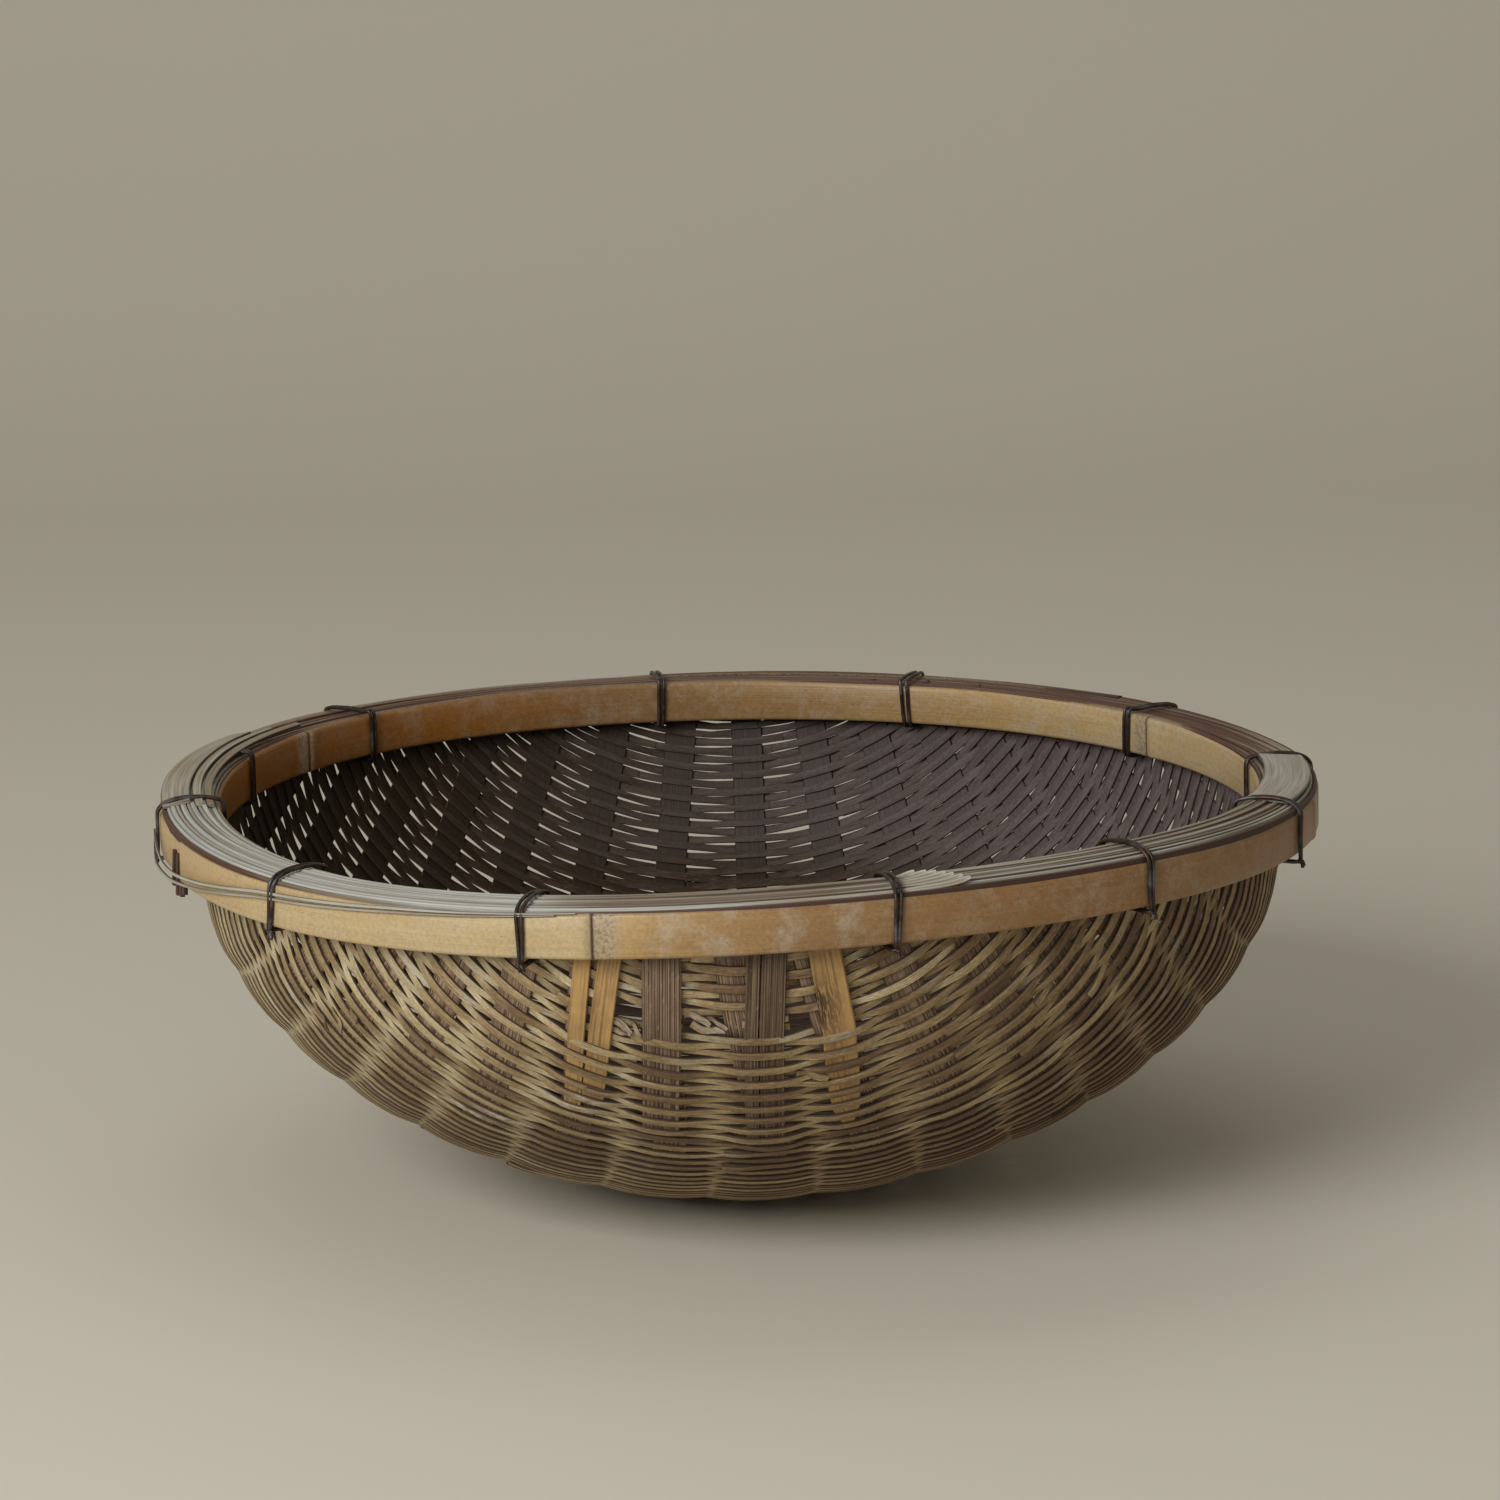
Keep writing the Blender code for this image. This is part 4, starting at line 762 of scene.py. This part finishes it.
# A split culm bent round, with pared ends that lap; side is +1 where its skin faces out
def makeHoop(name, setting, radius, wall, side, node):
    end = setting["start"] + 360 + setting["lap"]
    close = [place + turn + step for place in setting["joints"] for turn in (-360, 0, 360) for step in np.arange(-2.4, 2.5, 0.12)]
    angles = np.union1d(np.linspace(setting["start"], end, 400), np.round([item for item in close if setting["start"] < item < end], 3))
    count = len(angles)
    since, left = angles - angles[0], angles[-1] - angles
    lap = setting["lap"]
    pare = np.maximum(np.clip((lap + 8 - since) / 8, 0, 1), np.clip((lap + 8 - left) / 8, 0, 1))
    thick = wall * (1 - 0.54 * pare)                  # each end is pared to half the wall
    shiftOut = np.where(since < left, 1.0, -1.0) * pare * wall * 0.27
    middle = radius - side * wall / 2 + side * shiftOut
    band, groove, swell = np.zeros(count), np.zeros(count), np.zeros(count)
    for place in setting["joints"]:
        off = (angles - place + 180) % 360 - 180
        groove = np.maximum(groove, np.clip(1.5 - np.abs(off) / 0.24, 0, 1))
        band = np.maximum(band, np.where(off > 0, np.clip(1.8 - np.abs(off - 1.1) / 0.9, 0, 1), 0.8 * np.exp(-((off + 0.4) / 0.3) ** 2)))
        swell = np.maximum(swell, np.exp(-((off + 0.7) / 1.1) ** 2) - 0.55 * np.exp(-(off / 0.35) ** 2))
    turn = np.radians(angles)
    facing = (angles + 180) % 360 - 180
    tall = setting["height"] * (1 + 0.018 * np.sin(turn * 5 + side) + 0.010 * np.sin(turn * 13))
    tall = tall + np.interp(facing, setting["tallerAt"], setting["taller"])
    height = hoopBottom * 1000 + tall / 2 + 0.12 * np.sin(turn * 3 + 1)
    strip = StripMesh()
    centres = ringPoints(angles, middle + side * swell * 0.30 * millimetre, height * millimetre)
    # painted light and shade round the ring, on top of the skin's own straw-to-brown colour
    shade = np.interp(facing, setting["shadeAt"], setting["shade"])
    rub = np.interp(facing, setting["rubAt"], setting["rub"])
    strip.add(centres, ringOutward(angles) * side, tall * millimetre, thick + swell * 0.6 * millimetre,
              {"band": band * 0.78, "groove": groove, "shade": shade, "rub": rub, "cut": np.tile(hoopCut, (count, 1))}, outline=hoopOutline)
    piece = strip.make(name, hoopMaterial, sharp=50)
    standsFor(piece, "hoop", node)


makeHoop("outerHoop", hoops["outer"], bowl["rimRadius"], bowl["outerWall"], 1, "outer_hoop")
makeHoop("innerHoop", hoops["inner"], boreRadius, bowl["innerWall"], -1, "inner_hoop")

# widths are shares of the slot, from the outside in; mound is each strip's top above the hoops at the front, in mm
splints = {
    "widths": (1.2, 1.1, 1.5, 1.2, 1.7, 1.1, 1.5, 1.2, 1.6, 1.2, 1.5, 1.1), "height": 2.4, "gap": 0.24,
    "mound": (1.05, 1.60, 1.95, 2.20, 2.65, 2.55, 3.05, 2.7, 2.85, 2.2, 1.9, 1.2),
    "darkEdges": (0.9, 0.15, 0.95, 0.9, 0.6, 0.95, 0.9, 0.6, 0.95, 0.9, 0.6, 0.95),
    "tones": (0.05, 0.20, 0.02, 0.34, 0.10, 0.45, 0.16, 0.38, 0.12, 0.46, 0.24, 0.55),
}
splintOutline = ((-0.5, -0.5), (-0.5, 0.40), (-0.38, 0.47), (-0.30, 0.5), (0.30, 0.5), (0.38, 0.47), (0.5, 0.40), (0.5, -0.5))
splintEdge = np.array([1.0, 0.9, 0.2, 0.0, 0.0, 0.2, 0.9, 1.0])


def slowWave(angles, size, seed):
    own = np.random.default_rng(seed)
    total = np.zeros(len(angles))
    for wave in range(1, 10):
        total += own.normal(0, 1 / wave ** 0.5) * np.sin(np.radians(angles) * wave + own.uniform(0, 6.3))
    return total * size


# The binding stands high at the front and sinks behind the inner hoop at the back
def moundShare(angles):
    return np.interp(np.sin(np.radians(angles)), (-0.2, 0.12, 0.30, 0.70), (1.0, 0.72, 0.25, -0.15))


def makeSplints():
    outer = bowl["rimRadius"] - 0.5 * millimetre
    inner = boreRadius + 0.6 * millimetre
    widths = np.array(splints["widths"]) * (outer - inner) / sum(splints["widths"])
    edges = outer - np.concatenate([[0], np.cumsum(widths)])
    angles = np.linspace(0, 360, 361)
    for index, width in enumerate(widths):
        radius = (edges[index] + edges[index + 1]) / 2 + slowWave(angles, 0.10 * millimetre, 40 + index)
        top = splints["mound"][index] * moundShare(angles) + slowWave(angles, 0.13, 70 + index)
        height = bowl["height"] + 0.25 * millimetre + (top - splints["height"] / 2) * millimetre
        sections = len(angles)
        right = np.clip((np.cos(np.radians(angles + 15)) + 0.1) * 1.5, 0, 1)
        back = np.clip((np.sin(np.radians(angles)) - 0.1) * 2, 0, 0.6)
        facing = (angles + 180) % 360 - 180
        front = np.interp(facing, (-180, -125, -112, -102, -82, -73, -50, -20), (-0.08, -0.18, -0.16, 0.34, 0.26, -0.12, -0.06, 0.05))
        tone = splints["tones"][index] + 0.22 * right + back + front + slowWave(angles, 0.05, 90 + index)
        silver = 1 - 0.55 * np.clip((-104 - facing) / 6, 0, 1)[:, None]
        if index == 1:                                # bare and silvery at the front
            tone = tone - np.interp(facing, (-135, -122, -94, -80), (0.1, 0.65, 0.65, 0.2))
        if index == 0:                                # dark where it was cut from the culm's joint side
            tone = np.interp(angles, (0, 96, 104, 184, 189, 214, 240, 252, 258, 360), (1.1, 1.1, 0.0, 0.0, 1.1, 1.1, 0.1, 0.1, 1.1, 1.1))
        strip = StripMesh()
        strip.add(ringPoints(angles, radius, height), np.tile([0.0, 0.0, 1.0], (sections, 1)),
                  width - splints["gap"] * millimetre, splints["height"] * millimetre,
                  {"edge": np.tile(splintEdge, (sections, 1)) * splints["darkEdges"][index] * silver, "tone": tone}, outline=splintOutline, shift=index * 0.7)
        piece = strip.make(f"rimSplint{index + 1}", splintMaterial, sharp=60)
        standsFor(piece, "filler", *([f"rim_filler_{index + 1}"] if index < 5 else []))


makeSplints()


# A strip laid along the rim; angle, radius and height are given at a few places, lean tips it outwards in degrees
def rimStrip(name, angles, radius, height, width, thick, lean=None, tone=0.0, edge=0.0, outline=weftOutline):
    fine = np.linspace(angles[0], angles[-1], max(int(abs(angles[-1] - angles[0]) * 1.2), 12))
    order = np.argsort(angles)
    places = np.array(angles)[order]

    def at(values):
        return np.interp(fine, places, np.array(values, dtype=float)[order]) if np.ndim(values) else np.full(len(fine), values)

    centres = ringPoints(fine, at(radius) * millimetre, at(height) * millimetre)
    for _ in range(3):
        centres[1:-1] = (centres[:-2] + 2 * centres[1:-1] + centres[2:]) / 4
    tip = math.radians(90 if lean is None else lean)
    normal = ringOutward(fine) * math.sin(tip) + np.array([0.0, 0.0, 1.0]) * math.cos(tip)
    strip = StripMesh()
    dark = np.tile(weftEdges * 0.8, (len(fine), 1))
    strip.add(centres, normal, at(width) * millimetre, at(thick) * millimetre, {"tone": at(tone), "edge": dark}, outline=outline,
              shift=angles[0] * 0.01)
    piece = strip.make(name, splintMaterial)
    standsFor(piece, "filler")


def makeLooseStrips():
    rimStrip("looseStripUpper", (187, 196, 200, 206, 218.4, 236, 255), (171.6, 172.4, 171.9, 171.1, 170.7, 170.7, 170.5),
             (111, 107.6, 107.4, 109.2, 114.4, 117.2, 118.2), (0.95, 0.95, 0.95, 0.95, 0.95, 0.8, 0.3), 0.6, tone=0.20)
    rimStrip("looseStripLower", (186, 193, 199, 206, 218.4, 236, 253), (171.4, 172.8, 172.2, 171.3, 170.8, 170.7, 170.6),
             (109, 105.3, 105.0, 107.3, 112.9, 116.0, 117.6), (0.85, 0.85, 0.85, 0.85, 0.85, 0.7, 0.3), 0.6, tone=0.32)
    rimStrip("wideStripRight", (-20.5, -13, -4, 4.5), (161.3, 161.2, 161.0, 161.0), (120.4, 120.7, 120.7, 120.3), (12.6, 13.4, 13.6, 13.2), 0.9, 4, tone=0.20)
    rimStrip("wideStripLeft", (157, 165, 176, 189), (164.6, 164.8, 165.0, 165.2), (119.3, 119.9, 120.1, 119.8), (7.2, 9.0, 9.2, 8.4), 0.9, 12, tone=0.34)
    rimStrip("wideStripLeftInner", (154, 165, 180, 190.5), (159.0, 159.0, 158.9, 158.7), (119.6, 120.3, 120.5, 120.3), (2.0, 2.6, 2.6, 2.4), 0.9, 2, tone=0.30)
    rimStrip("wideStripLeftEdge", (150, 165, 180, 190.5), (155.8, 155.8, 155.7, 155.6), (119.3, 119.8, 120.0, 119.9), (2.0, 2.4, 2.4, 2.1), 0.9, -12, tone=0.5)
    rimStrip("lapEnd", (44.5, 48, 54), (168.0, 167.4, 166.8), (117.3, 117.1, 117.0), (2.4, 3.0, 3.0), 0.8, 8, tone=0.85)
    # the fanned ends of the binding, at the front: each lies on the one outside it and curls up at its tip
    for number in range(7):
        stop = -68.4 - (0, 0.55, 1.2, 1.8, 2.5, 3.3, 4.3)[number]
        radius = 168.2 - 1.65 * number
        rise = 118.4 + 0.45 * number - 0.05 * number ** 2
        rimStrip(f"fannedEnd{number + 1}", (-76.4, -74.6, stop - 2.2, stop - 0.8, stop - 0.25, stop),
                 (radius - 0.6, radius, radius, radius, radius + 0.3, radius + 0.5),
                 (rise - 0.6, rise, rise + 0.4, rise + 0.9, rise + 1.5, rise + 1.6), (1.3, 1.8, 1.9, 1.9, 1.5, 1.1),
                 (0.7, 0.7, 0.7, 0.8, 1.0, 1.0), 40, tone=(0.44, (0.30, 0.46, 0.36)[number % 3], 0.36, 0.34, 0.16, 0.05))
    # short cut ends that hang behind the outer hoop's end
    for number, (angle, low, wide, tone) in enumerate(((-159.2, 101.8, 1.6, 1.0), (-160.4, 100.4, 2.2, 1.5), (-161.8, 99.8, 2.0, 1.1), (-163.4, 101.6, 1.8, 1.5))):
        centres = ringPoints(np.full(8, angle), np.linspace(168.9, 169.5, 8) * millimetre, np.linspace(112.0, low, 8) * millimetre)
        strip = StripMesh()
        strip.add(centres, np.tile(ringOutward(np.array([angle]))[0], (8, 1)), wide * millimetre, 1.3 * millimetre,
                  {"tone": tone, "edge": np.tile(0.35 + 0.6 * weftEdges, (8, 1))}, outline=weftOutline, shift=number * 0.4)
        piece = strip.make(f"cutEnd{number + 1}", splintMaterial)
        standsFor(piece, "filler")


makeLooseStrips()
print("rim bound")


# Wire ties

ties = {
    "angles": (-139.9, -110.3, -75.8, -48.7, -20.8, 5.0, 37.4, 69.5, 99.3, 138.6, 165.0, 188.0),
    "wire": 1.08,
    # millimetres outward and up at the front: over the rim and back under it; the third number sinks with the binding
    "path": ((171.0, 103.9, 0), (170.8, 108.0, 0), (170.75, 113.0, 0), (170.85, 116.4, 0), (170.3, 118.2, 0.2), (168.4, 119.9, 0.7),
             (165.0, 120.9, 1), (161.0, 121.2, 1), (157.0, 121.0, 1), (153.6, 120.4, 0.8), (151.5, 119.6, 0.2), (151.1, 116.5, 0),
             (151.1, 109.0, 0), (151.2, 104.6, 0), (152.6, 103.5, 0), (160.0, 103.3, 0), (168.0, 103.3, 0), (170.4, 103.2, 0)),
}

def makeTies():
    for number, angle in enumerate(ties["angles"], start=1):
        own = np.random.default_rng(200 + number)
        lean = own.uniform(-1.6, 1.6)
        path = np.array(ties["path"])
        share = np.linspace(0, 1, len(path))
        sink = 2.2 * (1 - moundShare(np.array([float(angle)]))[0])
        strands = []
        for side in (-1, 1):
            spread = np.interp(share, (0, 0.1, 0.3, 0.55, 0.75, 1.0), (0.35, 0.62, 0.70, 0.66, 0.62, 0.5))
            across = side * (spread + own.uniform(0.0, 0.5) * np.sin(share * np.pi)) + lean * np.sin(share * np.pi * 1.5)
            degrees = np.full(len(path), float(angle))
            points = [(radius, sideways, height - sink * low, turn)
                      for (radius, height, low), sideways, turn in zip(path, across, degrees)]
            # the ends are wound round each other just under the hoop, then part
            winds = []
            for step in range(5):
                wound = math.pi * step / 2.4 + (0 if side < 0 else math.pi)
                winds.append((170.9 + 0.14 * step, lean * 0.3 + 0.48 * math.sin(wound) + 0.1 * step,
                              103.3 - 0.20 * step + 0.45 * math.cos(wound), float(angle)))
            tail = [(171.4, lean * 0.3 + 0.5 + side * 0.6, 102.2 + 0.2 * side, float(angle)),
                    (171.6, lean * 0.3 + 0.5 + side * own.uniform(0.3, 1.0), 102.1 + own.uniform(-0.9, 0.1), float(angle))]
            strands.append(points + winds + tail)
        curve = bpy.data.curves.new(f"tie{number:02d}", "CURVE")
        curve.dimensions = "3D"
        curve.bevel_depth = ties["wire"] / 2 * millimetre
        curve.bevel_resolution = 2
        curve.use_fill_caps = True
        for points in strands:
            spline = curve.splines.new("NURBS")
            spline.points.add(len(points) - 1)
            spline.use_endpoint_u = True
            spline.order_u = 3
            spline.resolution_u = 3
            around = np.radians([turn for _, _, _, turn in points])
            radius, sideways, height = np.array([point[:3] for point in points]).T * millimetre
            places = np.stack([radius * np.cos(around) - sideways * np.sin(around),
                               radius * np.sin(around) + sideways * np.cos(around), height], -1)
            for point, place in zip(spline.points, settled(places)):
                point.co = (*place, 1.0)
        tie = bpy.data.objects.new(f"wireTie{number:02d}", curve)
        bpy.context.scene.collection.objects.link(tie)
        bpy.ops.object.select_all(action="DESELECT")
        tie.select_set(True)
        bpy.context.view_layer.objects.active = tie
        bpy.ops.object.convert(target="MESH")
        tie = bpy.context.view_layer.objects.active
        bpy.ops.object.mode_set(mode="EDIT")
        bpy.ops.mesh.select_all(action="SELECT")
        bpy.ops.mesh.remove_doubles(threshold=0.001 * millimetre)
        bpy.ops.object.mode_set(mode="OBJECT")
        tie.data.materials.clear()
        tie.data.materials.append(wireMaterial)
        standsFor(tie, "wire", f"wire_tie_{number:02d}")


makeTies()
print("ties wound")


# Stage, light and camera

studio = {
    "floor": "#d6d2c6", "key": 30.0, "fill": 2.0, "top": 3.5, "world": 0.27,
    "keyPlace": (-1.05, -1.50, 1.05), "distance": 1.785, "elevation": 11.77, "lens": 145.5,
    "aimRight": 0.00336, "aimUp": 0.00939, "roll": 1.237,
}


def makeStage():
    bpy.ops.object.select_all(action="DESELECT")
    bpy.ops.mesh.primitive_plane_add(size=1, location=(0, 0, -0.0002))
    floor = bpy.context.view_layer.objects.active
    floor.name = "floor"
    floor.scale = (8, 5, 1)
    bpy.ops.object.transform_apply(location=False, rotation=False, scale=True)
    bpy.ops.object.mode_set(mode="EDIT")
    bpy.ops.mesh.select_all(action="DESELECT")
    bpy.ops.object.mode_set(mode="OBJECT")
    for edge in floor.data.edges:                     # the back edge is turned up into a wall
        edge.select = all(floor.data.vertices[end].co.y > 2 for end in edge.vertices)
    for vertex in floor.data.vertices:
        vertex.select = vertex.co.y > 2
    bpy.ops.object.mode_set(mode="EDIT")
    bpy.ops.transform.translate(value=(0, -1.3, 0))
    for step in range(12):
        angle = math.radians(7.5 * step + 3.75)
        bpy.ops.mesh.extrude_region_move(TRANSFORM_OT_translate={"value": (0, 0.105 * math.cos(angle), 0.105 * math.sin(angle))})
    bpy.ops.mesh.extrude_region_move(TRANSFORM_OT_translate={"value": (0, 0, 2.5)})
    bpy.ops.object.mode_set(mode="OBJECT")
    bpy.ops.object.shade_smooth()
    floor.data.materials.append(makeMaterial("paleFloor", (), {"Base Color": studio["floor"], "Roughness": 0.7}, {}))


def addLamp(name, place, size, power, colour=(1.0, 1.0, 1.0)):
    lamp = bpy.data.lights.new(name, "AREA")
    lamp.shape = "RECTANGLE"
    lamp.size, lamp.size_y = size
    lamp.energy = power
    lamp.color = colour
    holder = bpy.data.objects.new(name, lamp)
    holder.location = place
    holder.rotation_euler = (Vector((0, 0, 0.06)) - Vector(place)).to_track_quat("-Z", "Y").to_euler()
    bpy.context.scene.collection.objects.link(holder)


def makeLight():
    addLamp("windowLamp", studio["keyPlace"], (1.1, 0.9), studio["key"], (1.0, 0.985, 0.96))
    addLamp("fillLamp", (1.7, -1.2, 0.9), (1.4, 1.2), studio["fill"], (1.0, 0.88, 0.70))
    addLamp("topLamp", (-0.2, 0.5, 1.9), (1.6, 1.2), studio["top"])
    world = bpy.data.worlds.new("studio")
    bpy.context.scene.world = world
    world.use_nodes = True
    back = world.node_tree.nodes["Background"]
    back.inputs["Strength"].default_value = studio["world"]
    back.inputs["Color"].default_value = srgb("#f4ebdc")


def makeCamera():
    lens = bpy.data.cameras.new("photoCamera")
    lens.sensor_width = 36
    lens.lens = studio["lens"]
    lens.clip_end = 20
    camera = bpy.data.objects.new("photoCamera", lens)
    tilt = math.radians(studio["elevation"])
    middle = Vector((0, 0, bowl["height"]))
    back = Vector((0, -math.cos(tilt), math.sin(tilt)))
    level = Matrix.Rotation(math.radians(studio["roll"]), 3, -back)
    right = level @ Vector((1, 0, 0))
    upward = level @ Vector((0, math.sin(tilt), math.cos(tilt)))
    aim = middle + right * studio["aimRight"] + upward * studio["aimUp"]
    place = aim + back * studio["distance"]
    camera.matrix_world = Matrix.Translation(place) @ Matrix((right, upward, back)).transposed().to_4x4()
    bpy.context.scene.collection.objects.link(camera)
    bpy.context.scene.camera = camera


makeStage()
makeLight()
makeCamera()
bpy.context.scene.view_settings.view_transform = "Standard"
print("stage set")
